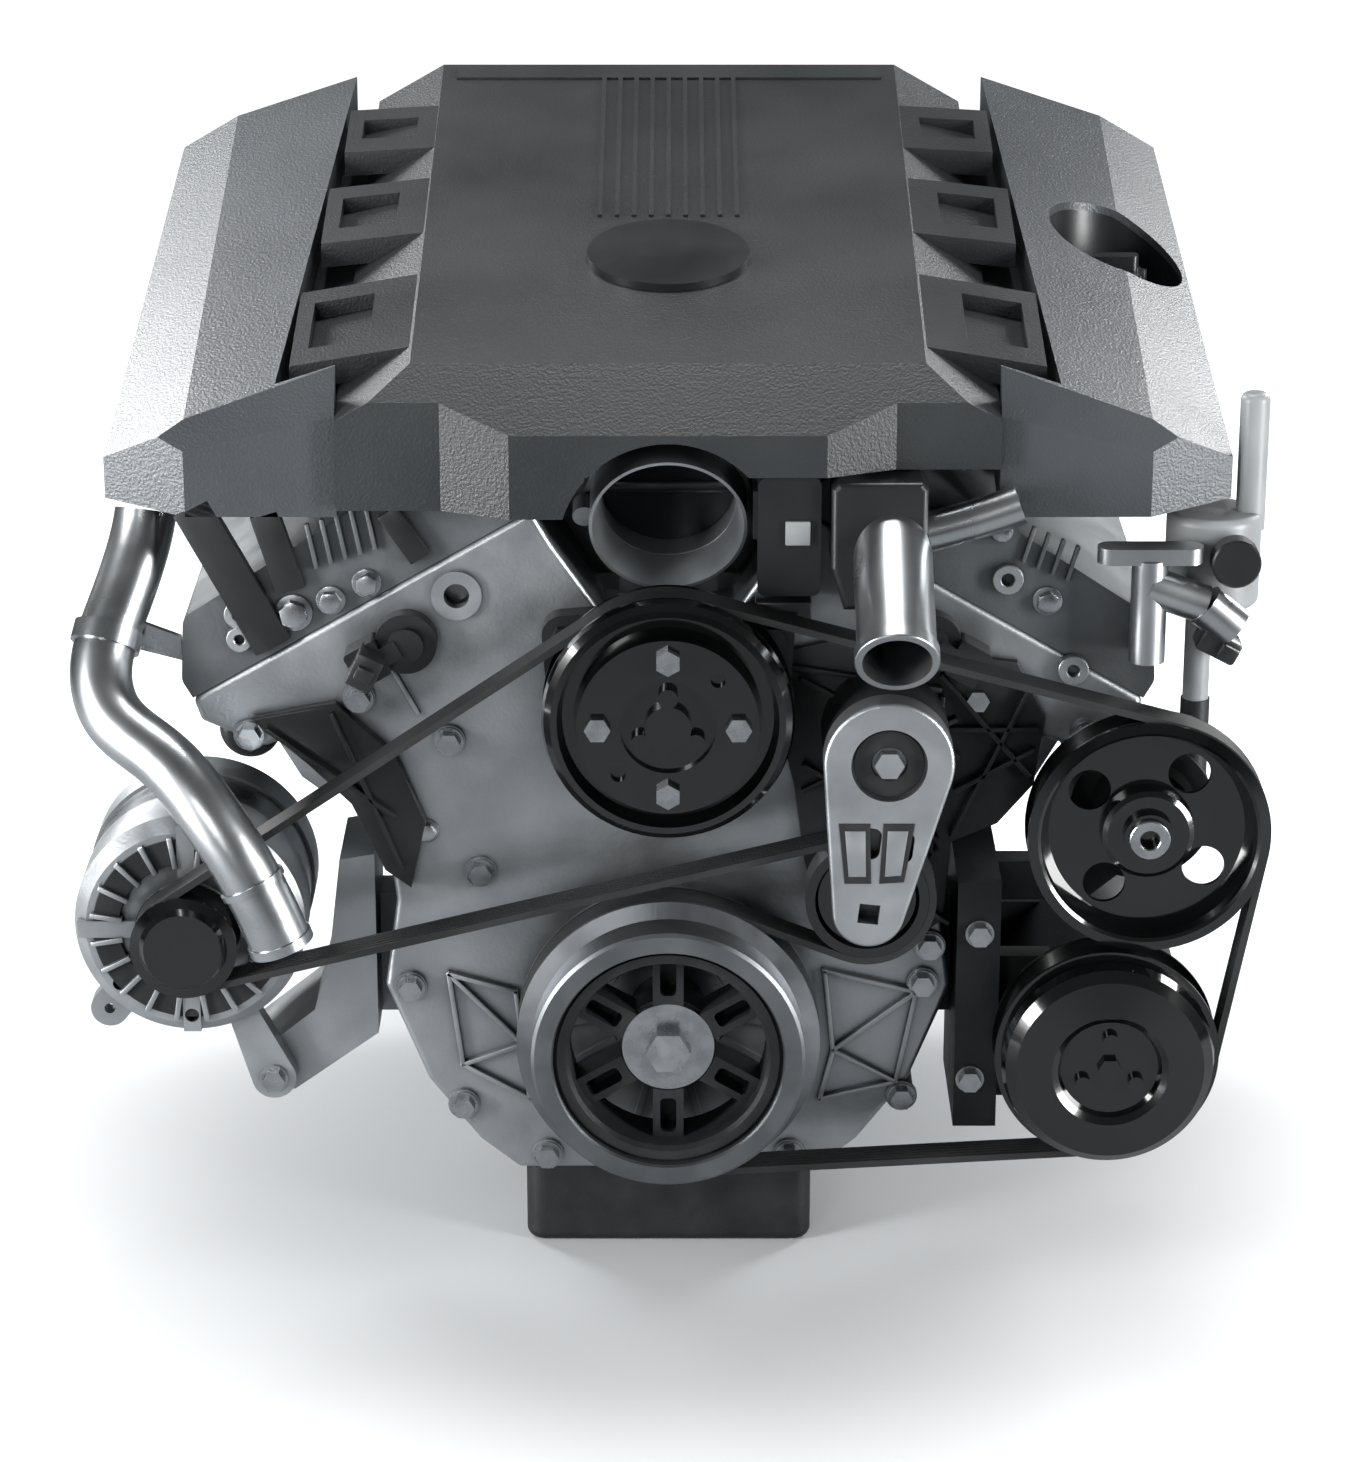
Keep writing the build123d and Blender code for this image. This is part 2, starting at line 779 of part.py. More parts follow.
water_pump_housing.part.label = "water_pump_housing"
export_step(water_pump_housing.part, "parts/water_pump_housing.step")

with BuildPart() as water_pump_rotor:
    with BuildSketch(front(cover_front - 2)):
        with Locations(pump_at):
            Circle(pump_shaft)
    extrude(amount=cover_front - 2 - pump_flange_front)
    with BuildSketch(front(cover_front - 2)):
        with Locations(pump_at):
            Circle(33)
    extrude(amount=4)
    with BuildSketch(front(cover_front - 6)):
        with Locations(pump_at):
            with PolarLocations(20, 6):
                Rectangle(27, 3)
    extrude(amount=10)
    with BuildSketch(front(pump_flange_front + 6)):
        with Locations(pump_at):
            Circle(50)
            with PolarLocations(pump_bolt_circle / 2, 4):
                Circle(4, mode=Mode.SUBTRACT)
    extrude(amount=6)
    with BuildSketch(front(pump_flange_front)):
        with Locations(pump_at):
            Circle(14)
            with PolarLocations(19, 3, start_angle=90):
                Circle(6)
    extrude(amount=7)
water_pump_rotor.part.label = "water_pump_rotor"
export_step(water_pump_rotor.part, "parts/water_pump_rotor.step")

disc_front = pump_flange_front - 4
with BuildPart() as water_pump_pulley:
    revolve(
        half_profile(
            pump_at,
            [(66, groove_back + rim_edge)]
            + belt_rim(pump_pulley[2])
            + [
                (75, -509),
                (71, -512.5),
                (67, -513),
                (64, -500),
                (57, -500),
                (55, disc_front),
                (29, disc_front),
            ]
            + [(29, pump_flange_front), (51.5, pump_flange_front), (53, -494), (66, -494)],
        ),
        axis=axis_at(pump_at),
    )
    with BuildSketch(front(disc_front)):
        with Locations(pump_at):
            with PolarLocations(pump_bolt_circle / 2, 4):
                Circle(4 + seat_gap)
            with PolarLocations(pump_bolt_circle / 2, 2, start_angle=45):
                Circle(4.6)
    extrude(amount=-4, mode=Mode.SUBTRACT)
water_pump_pulley.part.label = "water_pump_pulley"
export_step(water_pump_pulley.part, "parts/water_pump_pulley.step")

with BuildPart() as pump_pulley_bolts:
    with BuildSketch(front(disc_front)):
        with Locations(pump_at):
            with PolarLocations(pump_bolt_circle / 2, 4):
                RegularPolygon(8, 6)
    extrude(amount=6)
    with BuildSketch(front(disc_front)):
        with Locations(pump_at):
            with PolarLocations(pump_bolt_circle / 2, 4):
                Circle(4 - running_clearance)
    extrude(amount=-9)
pump_pulley_bolts.part.label = "pump_pulley_bolts"
export_step(pump_pulley_bolts.part, "parts/pump_pulley_bolts.step")

# Drive belt: tangents from pulley to pulley, in the order the belt runs, clockwise seen from the front
stops = [
    (crank_pulley, 1),
    (tensioner_at, -1),
    (alternator_at, 1),
    (pump_pulley, 1),
    (steering_at, 1),
    (compressor_at, 1),
]


def belt_loop(depth):
    """Closed outline of the belt's path at a depth from its rib tips (0) to its back (belt_thickness)."""
    circles = []
    for (x, z, radius), sense in stops:
        grow = depth if sense > 0 else belt_thickness - depth
        circles.append((x, z, radius + belt_play + grow, sense))
    ends = []
    for k, (x1, z1, r1, s1) in enumerate(circles):
        x2, z2, r2, s2 = circles[(k + 1) % len(circles)]
        heading = math.atan2(z2 - z1, x2 - x1) + math.asin(
            (s2 * r2 - s1 * r1) / math.dist((x1, z1), (x2, z2))
        )
        right = (math.sin(heading), -math.cos(heading))
        ends.append(
            (
                (x1 - s1 * r1 * right[0], z1 - s1 * r1 * right[1]),
                (x2 - s2 * r2 * right[0], z2 - s2 * r2 * right[1]),
            )
        )
    with BuildLine() as loop:
        for k, (leave, reach) in enumerate(ends):
            Line(leave, reach)
            x, z, radius, sense = circles[(k + 1) % len(circles)]
            following = ends[(k + 1) % len(ends)][0]
            start = math.atan2(reach[1] - z, reach[0] - x)
            swept = (sense * (start - math.atan2(following[1] - z, following[0] - x))) % (2 * math.pi)
            middle = start - sense * swept / 2
            ThreePointArc(reach, (x + radius * math.cos(middle), z + radius * math.sin(middle)), following)
    return make_face(loop.edges(), mode=Mode.PRIVATE)


with BuildPart() as drive_belt:
    with BuildSketch(front(belt_back)):
        add(belt_loop(belt_thickness))
        add(belt_loop(0), mode=Mode.SUBTRACT)
    extrude(amount=belt_width)
    for k in range(rib_count - 1):
        with BuildSketch(
            front(belt_back - (belt_width - rib_count * rib_pitch) / 2 - (k + 1) * rib_pitch + 0.6)
        ):
            add(belt_loop(rib_height))
            add(belt_loop(0), mode=Mode.SUBTRACT)
        extrude(amount=1.2, mode=Mode.SUBTRACT)
drive_belt.part.label = "drive_belt"
export_step(drive_belt.part, "parts/drive_belt.step")


# Belt tensioner: base, sprung arm and its smooth pulley on the belt's back
arm_back = -506.0
arm_front = -524.0
arm_pin = 11.0
tensioner_axle = 8.0
tensioner_foot = tensioner_at[:2]
drive_square = 12.7
with BuildPart() as tensioner_base:
    with BuildSketch(front(cover_front)):
        with Locations(tensioner_pivot):
            Circle(39)
    extrude(amount=cover_front - arm_back - seat_gap)
    fillet(tensioner_base.faces().sort_by(Axis.Y)[0].edges(), 3)
    with BuildSketch(front(cover_front)):
        with Locations(tensioner_pivot):
            Circle(arm_pin + running_clearance)
    extrude(amount=80, mode=Mode.SUBTRACT)
tensioner_base.part.label = "tensioner_base"
export_step(tensioner_base.part, "parts/tensioner_base.step")

arm_lean = math.degrees(
    math.atan2(tensioner_pivot[1] - tensioner_foot[1], tensioner_pivot[0] - tensioner_foot[0])
)
with BuildPart() as tensioner_arm:
    with BuildSketch(front(arm_back)):
        with Locations(tensioner_pivot):
            Circle(39.5)
        with Locations(tensioner_foot):
            Circle(22)
        make_hull()
    extrude(amount=arm_back - arm_front)
    fillet(tensioner_arm.faces().sort_by(Axis.Y)[0].edges(), 2.5)
    with BuildSketch(front(arm_front)):
        with Locations(tensioner_pivot):
            Circle(23)
    extrude(amount=-6, mode=Mode.SUBTRACT)
    with BuildSketch(front(arm_front)):
        with Locations(Location((131, 139, 0), arm_lean - 90)):
            with Locations((-9, 0), (11, 0)):
                RectangleRounded(13, 20, 5)
    extrude(amount=-11, mode=Mode.SUBTRACT)
    with BuildSketch(front(arm_front)):
        with Locations(Location((*tensioner_foot, 0), arm_lean - 90)):
            Rectangle(drive_square, drive_square)
    extrude(amount=-14, mode=Mode.SUBTRACT)
    with BuildSketch(front(arm_front + 6)):
        with Locations(tensioner_pivot):
            RegularPolygon(9, 6)
    extrude(amount=7)
    with BuildSketch(front(cover_front - 3)):
        with Locations(tensioner_pivot):
            Circle(arm_pin)
    extrude(amount=cover_front - 3 - arm_back)
    with BuildSketch(front(groove_back)):
        with Locations(tensioner_foot):
            Circle(tensioner_axle)
    extrude(amount=groove_back - arm_back)
tensioner_arm.part.label = "tensioner_arm"
export_step(tensioner_arm.part, "parts/tensioner_arm.step")

with BuildPart() as tensioner_pulley:
    revolve(
        half_profile(
            tensioner_foot,
            [
                (tensioner_axle + running_clearance, groove_back - 1),
                (16, groove_back - 1),
                (18, groove_back - 4),
                (30, groove_back - 4),
                (32, groove_back),
                (tensioner_at[2], groove_back),
                (tensioner_at[2], groove_front),
                (32, groove_front),
                (30, groove_front + 4),
                (18, groove_front + 4),
                (16, arm_back + seat_gap + 1),
                (tensioner_axle + running_clearance, arm_back + seat_gap + 1),
            ],
        ),
        axis=axis_at(tensioner_foot),
    )
tensioner_pulley.part.label = "tensioner_pulley"
export_step(tensioner_pulley.part, "parts/tensioner_pulley.step")

# Alternator
alternator_centre = alternator_at[:2]
alternator_radius = 72.0
alternator_front = -472.0
alternator_rear = -350.0
stator_front = -424.0
stator_rear = -386.0
alternator_shaft = 8.5
bracket_front = -440.0
foot_at = (-250.0, -47.0)
top_lug_at = (-352.0, 1.0)
shaft_hole = alternator_shaft + running_clearance
with BuildPart() as alternator_front_housing:
    revolve(
        half_profile(
            alternator_centre,
            [
                (shaft_hole, alternator_front - 2),
                (26, alternator_front - 2),
                (30, alternator_front + 3),
                (46, alternator_front + 3),
                (52, alternator_front),
                (64, alternator_front),
                (alternator_radius, alternator_front + 9),
                (alternator_radius, stator_front),
                (alternator_radius - 6, stator_front),
                (alternator_radius - 6, alternator_front + 12),
                (60, alternator_front + 8),
                (shaft_hole, alternator_front + 8),
            ],
        ),
        axis=axis_at(alternator_centre),
    )
    with BuildSketch(front(alternator_front + 4)):
        with Locations(alternator_centre):
            with PolarLocations(50, 4, start_angle=90):
                Rectangle(38, 11)
    extrude(amount=6)
    with BuildSketch(front(bracket_front)):
        with Locations(foot_at):
            Circle(14)
        with Locations((-270, 2)):
            Circle(9)
        make_hull()
    extrude(amount=14)
    with BuildSketch(front(bracket_front)):
        with Locations(top_lug_at):
            Circle(12)
        with Locations((-335, 22)):
            Circle(12)
        make_hull()
    extrude(amount=14)
    with BuildSketch(front(alternator_front - 2)):
        with Locations(foot_at, top_lug_at):
            Circle(bolt_hole)
        with Locations(alternator_centre):
            with PolarLocations(58, 2, start_angle=220, angular_range=100):
                Circle(4.5)
    extrude(amount=-60, mode=Mode.SUBTRACT)
alternator_front_housing.part.label = "alternator_front_housing"
export_step(alternator_front_housing.part, "parts/alternator_front_housing.step")

with BuildPart() as alternator_stator:
    with BuildSketch(front(stator_rear)):
        with Locations(alternator_centre):
            Circle(alternator_radius - 2)
            Circle(54, mode=Mode.SUBTRACT)
    extrude(amount=stator_rear - stator_front)
alternator_stator.part.label = "alternator_stator"
export_step(alternator_stator.part, "parts/alternator_stator.step")

with BuildPart() as alternator_rear_housing:
    revolve(
        half_profile(
            alternator_centre,
            [
                (shaft_hole, alternator_rear),
                (62, alternator_rear),
                (alternator_radius, alternator_rear - 8),
                (alternator_radius, stator_rear),
                (alternator_radius - 6, stator_rear),
                (alternator_radius - 6, alternator_rear - 10),
                (shaft_hole, alternator_rear - 8),
            ],
        ),
        axis=axis_at(alternator_centre),
    )
    with BuildSketch(front(alternator_rear)):
        with Locations(alternator_centre):
            with PolarLocations(44, 8):
                SlotOverall(26, 9)
    extrude(amount=10, mode=Mode.SUBTRACT)
alternator_rear_housing.part.label = "alternator_rear_housing"
export_step(alternator_rear_housing.part, "parts/alternator_rear_housing.step")

with BuildPart() as alternator_rotor:
    with BuildSketch(front(alternator_rear - 3)):
        with Locations(alternator_centre):
            Circle(alternator_shaft)
    extrude(amount=alternator_rear - 3 - groove_front)
    with BuildSketch(front(stator_rear - 2)):
        with Locations(alternator_centre):
            Circle(53.5)
            with PolarLocations(52, 12):
                Rectangle(12, 5, mode=Mode.SUBTRACT)
    extrude(amount=stator_rear - stator_front - 4)
alternator_rotor.part.label = "alternator_rotor"
export_step(alternator_rotor.part, "parts/alternator_rotor.step")

with BuildPart() as alternator_pulley:
    revolve(
        half_profile(
            alternator_centre,
            [(alternator_shaft, groove_back + rim_edge)]
            + belt_rim(alternator_at[2])
            + [
                (27, groove_front - 4),
                (24, groove_front - 8),
                (0, groove_front - 8),
                (0, groove_front),
                (alternator_shaft, groove_front),
            ],
        ),
        axis=axis_at(alternator_centre),
    )
alternator_pulley.part.label = "alternator_pulley"
export_step(alternator_pulley.part, "parts/alternator_pulley.step")

with BuildPart() as alternator_bracket:
    with BuildSketch(front(stator_rear + 20)):
        Polygon(
            (-184, 100),
            (-184, -22),
            (-238, -61),
            (-262, -61),
            (-264, -38),
            (-224, -6),
            (-214, 30),
            (-206, 96),
            align=None,
        )
    extrude(amount=stator_rear + 20 - bracket_front)
    with BuildSketch(front(stator_rear + 20)):
        Polygon((-skirt_x, 56), (-skirt_x, -25), (-190, -25), (-190, 56), align=None)
    extrude(amount=stator_rear + 20 - block_front - 3)
    with BuildSketch(front(bracket_front)):
        with Locations(foot_at):
            Circle(bolt_hole)
    extrude(amount=-40, mode=Mode.SUBTRACT)
alternator_bracket.part.label = "alternator_bracket"
export_step(alternator_bracket.part, "parts/alternator_bracket.step")

# Right side bracket, steering pump and air conditioning compressor
plate_inner = 180.0
plate_outer = 207.0
plate_front = -468.0
pad_front = -432.0
pad_back = -414.0
steering_centre = steering_at[:2]
compressor_centre = compressor_at[:2]
accessory_bolt_at = [(194, 58), (190, -41)]
with BuildPart() as accessory_bracket:
    with BuildSketch(front(stator_rear + 20)):
        Polygon((plate_inner, 92), (plate_inner, -74), (plate_outer, -74), (plate_outer, 92), align=None)
    extrude(amount=stator_rear + 20 - plate_front)
    with BuildSketch(front(pad_back)):
        with Locations(steering_centre):
            Circle(42)
        Polygon(
            (plate_inner + 4, 66),
            (plate_inner + 4, 92),
            (240, 92),
            (262, 130),
            (300, 98),
            (262, 66),
            align=None,
        )
    extrude(amount=pad_back - pad_front)
    with BuildSketch(front(stator_rear + 20)):
        Polygon((skirt_x, 56), (skirt_x, -25), (plate_inner + 5, -25), (plate_inner + 5, 56), align=None)
    extrude(amount=stator_rear + 20 - block_front - 3)
    with BuildSketch(front(plate_front)):
        with Locations(*accessory_bolt_at):
            Circle(bolt_hole)
    extrude(amount=-40, mode=Mode.SUBTRACT)
accessory_bracket.part.label = "accessory_bracket"
export_step(accessory_bracket.part, "parts/accessory_bracket.step")

# Flange bolts, all of one size: timing cover, brackets and alternator foot
bolt_radius = bolt_hole - running_clearance
bolt_head = 7.2
bolt_seats = [(at, cover_front - 3) for at in cover_bosses]
bolt_seats += [(at, plate_front) for at in accessory_bolt_at] + [(foot_at, bracket_front - 14)]
with BuildPart() as flange_bolts:
    for at, y in bolt_seats:
        with BuildSketch(front(y)):
            with Locations(at):
                Circle(9)
        extrude(amount=1.5)
        with BuildSketch(front(y - 1.5)):
            with Locations(at):
                RegularPolygon(bolt_head, 6)
        extrude(amount=6)
        with BuildSketch(front(y)):
            with Locations(at):
                Circle(bolt_radius)
        extrude(amount=-30)
flange_bolts.part.label = "flange_bolts"
export_step(flange_bolts.part, "parts/flange_bolts.step")

pump_shaft_radius = 10.0
with BuildPart() as steering_pump:
    with BuildSketch(front(pad_front)):
        with Locations(steering_centre):
            Circle(45)
    extrude(amount=26)
    with BuildSketch(front(pad_front - 26)):
        with Locations(steering_centre):
            Circle(34)
    extrude(amount=10, taper=20)
    with BuildSketch(Plane.XY.offset(steering_centre[1])):
        with Locations(hose_at):
            Circle(9)
    extrude(amount=hose_joint - steering_centre[1])
    with BuildSketch(front(pad_front)):
        with Locations(steering_centre):
            Circle(pump_shaft_radius + running_clearance)
    extrude(amount=60, mode=Mode.SUBTRACT)
steering_pump.part.label = "steering_pump"
export_step(steering_pump.part, "parts/steering_pump.step")

web_back = -484.0
with BuildPart() as steering_pulley:
    revolve(
        half_profile(
            steering_centre,
            [
                (pump_shaft_radius, -474),
                (24, -474),
                (26, web_back),
                (59, web_back),
                (64.5, groove_back + rim_edge),
            ]
            + belt_rim(steering_at[2], 4)
            + [
                (68, groove_front - 3.5),
                (66, groove_front - 2),
                (65, -497),
                (60, web_back - 3.5),
                (29, web_back - 3.5),
                (28, -498),
                (25, -500),
                (pump_shaft_radius, -500),
            ],
        ),
        axis=axis_at(steering_centre),
    )
    with BuildSketch(front(-500)):
        with Locations(steering_centre):
            with PolarLocations(43.5, 4, start_angle=55):
                Circle(13)
    extrude(amount=-30, mode=Mode.SUBTRACT)
    with BuildSketch(front(pad_front - 2)):
        with Locations(steering_centre):
            Circle(pump_shaft_radius)
    extrude(amount=pad_front - 2 + 500)
    with BuildSketch(front(-500)):
        with Locations(steering_centre):
            Circle(15.5)
            Circle(6, mode=Mode.SUBTRACT)
    extrude(amount=6)
steering_pulley.part.label = "steering_pulley"
export_step(steering_pulley.part, "parts/steering_pulley.step")

compressor_radius = 55.0
compressor_front = -466.0
compressor_rear = -312.0
compressor_shaft = 9.0
bearing_nose = 28.0
with BuildPart() as compressor_body:
    with BuildSketch(front(compressor_rear)):
        with Locations(compressor_centre):
            Circle(compressor_radius)
    extrude(amount=compressor_rear - compressor_front)
    chamfer(compressor_body.edges().filter_by(GeomType.CIRCLE), 6)
    with BuildSketch(front(compressor_front)):
        with Locations(compressor_centre):
            Circle(bearing_nose)
    extrude(amount=34)
    for y in (-346, -436):
        with BuildSketch(front(y)):
            Polygon((plate_outer, 36), (245, 36), (245, -60), (plate_outer, -60), align=None)
        extrude(amount=16)
    with BuildSketch(front(compressor_rear)):
        with Locations(compressor_centre):
            Circle(compressor_shaft + running_clearance)
    extrude(amount=200, mode=Mode.SUBTRACT)
compressor_body.part.label = "compressor_body"
export_step(compressor_body.part, "parts/compressor_body.step")

with BuildPart() as compressor_pulley:
    revolve(
        half_profile(
            compressor_centre,
            [(bearing_nose + running_clearance, groove_back + rim_edge)]
            + belt_rim(compressor_at[2])
            + [
                (60, groove_front - 3),
                (58, -499),
                (bearing_nose + 4, -499),
                (bearing_nose + running_clearance, -499),
            ],
        ),
        axis=axis_at(compressor_centre),
    )
compressor_pulley.part.label = "compressor_pulley"
export_step(compressor_pulley.part, "parts/compressor_pulley.step")

with BuildPart() as clutch_plate:
    revolve(
        half_profile(
            compressor_centre,
            [
                (0, -330),
                (compressor_shaft, -330),
                (compressor_shaft, -512),
                (54, -516),
                (55, -507),
                (64, -507),
                (66, -512),
                (64, -520),
                (58, -526),
                (36, -529),
                (32, -526),
                (30, -522),
                (0, -522),
            ],
        ),
        axis=axis_at(compressor_centre),
    )
    with BuildSketch(front(-522)):
        with Locations(compressor_centre):
            RegularPolygon(7.5, 6)
            with PolarLocations(19, 3, start_angle=90):
                Circle(5)
    extrude(amount=5)
clutch_plate.part.label = "clutch_plate"
export_step(clutch_plate.part, "parts/clutch_plate.step")


# Intake manifold between the banks, with a neck for the throttle and studs for the engine cover
hood_rise = math.tan(math.radians(cover_tilt))
throttle_tilt = 20.0
throttle_mouth = (0.0, -455.0, 319.0)
throttle_bore = 41.0
throttle_outer = 48.0
throttle_length = 70.0
plate_depth = 42.0
manifold_front = -366.0
manifold_rear = -60.0
stud_at = [(-70, -350), (70, -350), (-70, -90), (70, -90)]


def throttle_plane(depth):
    """Plane across the throttle's bore at a depth behind its mouth, facing back along the bore."""
    x, y, z = throttle_mouth
    run, rise = math.cos(math.radians(throttle_tilt)), math.sin(math.radians(throttle_tilt))
    return Plane(origin=(x, y + depth * run, z + depth * rise), x_dir=(1, 0, 0), z_dir=(0, run, rise))


def hood_plane(drop):
    """Plane of the hood's top, lowered by a drop."""
    return Plane(
        origin=(0, hood_front_y, hood_front_z - drop),
        x_dir=(1, 0, 0),
        z_dir=(0, -math.sin(math.radians(cover_tilt)), math.cos(math.radians(cover_tilt))),
    )


with BuildPart() as intake_manifold:
    with BuildSketch(front(manifold_rear)):
        Polygon(
            *mirrored([
                (0, 262),
                bank_point(1, intake_face, deck_height + 26),
                bank_point(1, intake_face, head_top - 2),
                (84, 350),
                (92, 362),
                (92, 388),
                (84, 396),
                (0, 396),
            ]),
            align=None,
        )
    extrude(amount=manifold_rear - manifold_front)
    for k in range(4):
        with BuildSketch(front(manifold_rear - 30 - k * 84)):
            Polygon((-80, 396), (80, 396), (76, 402), (-76, 402), align=None)
        extrude(amount=8)
    with BuildSketch(throttle_plane(throttle_length)):
        Circle(throttle_outer)
    extrude(amount=60)
    with BuildSketch(throttle_plane(throttle_length)):
        Circle(throttle_bore)
    extrude(amount=90, mode=Mode.SUBTRACT)
    with BuildSketch(Plane.XY.offset(390)):
        with Locations(*stud_at):
            Circle(7)
    extrude(amount=140)
    split(bisect_by=hood_plane(skin * (1 + hood_rise)), keep=Keep.BOTTOM)
intake_manifold.part.label = "intake_manifold"
export_step(intake_manifold.part, "parts/intake_manifold.step")

# Throttle: housing, actuator and the turning plate
plate_shaft = 5.0
with BuildPart() as throttle_housing:
    with BuildSketch(throttle_plane(0)):
        Circle(throttle_outer)
    extrude(amount=throttle_length)
    with BuildSketch(throttle_plane(throttle_length)):
        RectangleRounded(98, 98, 16)
        Circle(throttle_bore, mode=Mode.SUBTRACT)
    extrude(amount=-8)
    with BuildSketch(throttle_plane(10)):
        with Locations((-throttle_outer - 3, 0)):
            Circle(7)
    extrude(amount=14)
    with BuildSketch(throttle_plane(plate_depth - 16)):
        Circle(throttle_outer + 3)
    extrude(amount=32)
    with BuildSketch(throttle_plane(0)):
        Circle(throttle_bore)
    extrude(amount=throttle_length, mode=Mode.SUBTRACT)
    with BuildSketch(throttle_plane(0)):
        Circle(throttle_outer - 2)
    extrude(amount=26, taper=10, mode=Mode.SUBTRACT)
    with BuildSketch(Plane(throttle_plane(plate_depth).origin, x_dir=(0, 1, 0), z_dir=(1, 0, 0))):
        Circle(plate_shaft + running_clearance)
    extrude(amount=80, both=True, mode=Mode.SUBTRACT)
throttle_housing.part.label = "throttle_housing"
export_step(throttle_housing.part, "parts/throttle_housing.step")

with BuildPart() as throttle_plate:
    with BuildSketch(throttle_plane(plate_depth - 1.2)):
        Circle(throttle_bore - 0.1)
    extrude(amount=2.4)
    with BuildSketch(
        Plane(
            throttle_plane(plate_depth).origin - Vector(throttle_outer, 0, 0),
            x_dir=(0, 1, 0),
            z_dir=(1, 0, 0),
        )
    ):
        Circle(plate_shaft)
    extrude(amount=2 * throttle_outer + 12)
throttle_plate.part.label = "throttle_plate"
export_step(throttle_plate.part, "parts/throttle_plate.step")

plate_centre = throttle_plane(plate_depth).origin
with BuildPart() as throttle_actuator:
    with BuildSketch(
        Plane(plate_centre + Vector(throttle_outer + 3.2, 0, 0), x_dir=(0, 1, 0), z_dir=(1, 0, 0))
    ):
        RectangleRounded(52, 56, 6)
    extrude(amount=14)
    with BuildSketch(front(cover_front - 2)):
        with Locations((73, 318)):
            RectangleRounded(38, 74, 5)
    extrude(amount=22)
    with BuildSketch(
        Plane(plate_centre + Vector(throttle_outer + 3.2, 0, 0), x_dir=(0, 1, 0), z_dir=(1, 0, 0))
    ):
        with Locations((-30, -4)):
            Rectangle(40, 30)
    extrude(amount=12)
    with BuildSketch(Plane(plate_centre, x_dir=(0, 1, 0), z_dir=(1, 0, 0))):
        Circle(plate_shaft + 1)
    extrude(amount=throttle_outer + 14, mode=Mode.SUBTRACT)
throttle_actuator.part.label = "throttle_actuator"
export_step(throttle_actuator.part, "parts/throttle_actuator.step")

# Engine cover: a moulded hood with fins across to a wing on each side
fascia_y = -480.0
fascia_top = 383.0
fascia_bottom = 331.0
seam_z = 357.0
arch_radius = 66.0
arch_z = 312.0
seam_x = 200.0
side_fascia_y = -462.0
wing_fascia_y = -455.0
wing_edge = ((237.0, -440.0, 402.0), (214.0, -10.0, 508.0))
crease = ((292.0, -440.0, 384.0), (297.0, -10.0, 477.0))
wing_corner = (343.0, -432.0, 356.0)
wing_wall = 2.6
channel_depth = 27.0
wing_rear_corner = (335.0, -10.0, 452.0)
fins = ((-417.0, -319.0), (-261.0, -180.0), (-134.0, -67.5))
filler_hole = 44.0
filler_hole_at = (291.0, -203.0)


def hood_height(y):
    return hood_front_z + hood_rise * (y - hood_front_y)


def plane_through(a, b, c):
    """Plane through three points, its normal upward."""
    a, b, c = Vector(*a), Vector(*b), Vector(*c)
    normal = (b - a).cross(c - a)
    return Plane(origin=a, z_dir=normal if normal.Z > 0 else -normal)


with BuildPart(mode=Mode.PRIVATE) as hood_solid:
    with BuildSketch(Plane.XY.offset(fascia_bottom)):
        Polygon(
            (-95, fascia_y),
            (95, fascia_y),
            (137, side_fascia_y),
            (seam_x, side_fascia_y),
            (seam_x, hood_front_y + hood_length),
            (-seam_x, hood_front_y + hood_length),
            (-seam_x, side_fascia_y),
            (-137, side_fascia_y),
            align=None,
        )
    extrude(amount=250)
    split(bisect_by=hood_plane(0), keep=Keep.BOTTOM)
    split(
        bisect_by=plane_through(
            (0, fascia_y, fascia_top), (50, fascia_y, fascia_top), (0, hood_front_y, hood_front_z)
        ),
        keep=Keep.BOTTOM,
    )
    for side in sides.values():
        split(
            bisect_by=plane_through(
                (side * hood_width / 2, hood_front_y, hood_front_z),
                (side * hood_width / 2, -10, hood_height(-10)),
                (side * seam_x, -456, 388),
            ),
            keep=Keep.BOTTOM,
        )
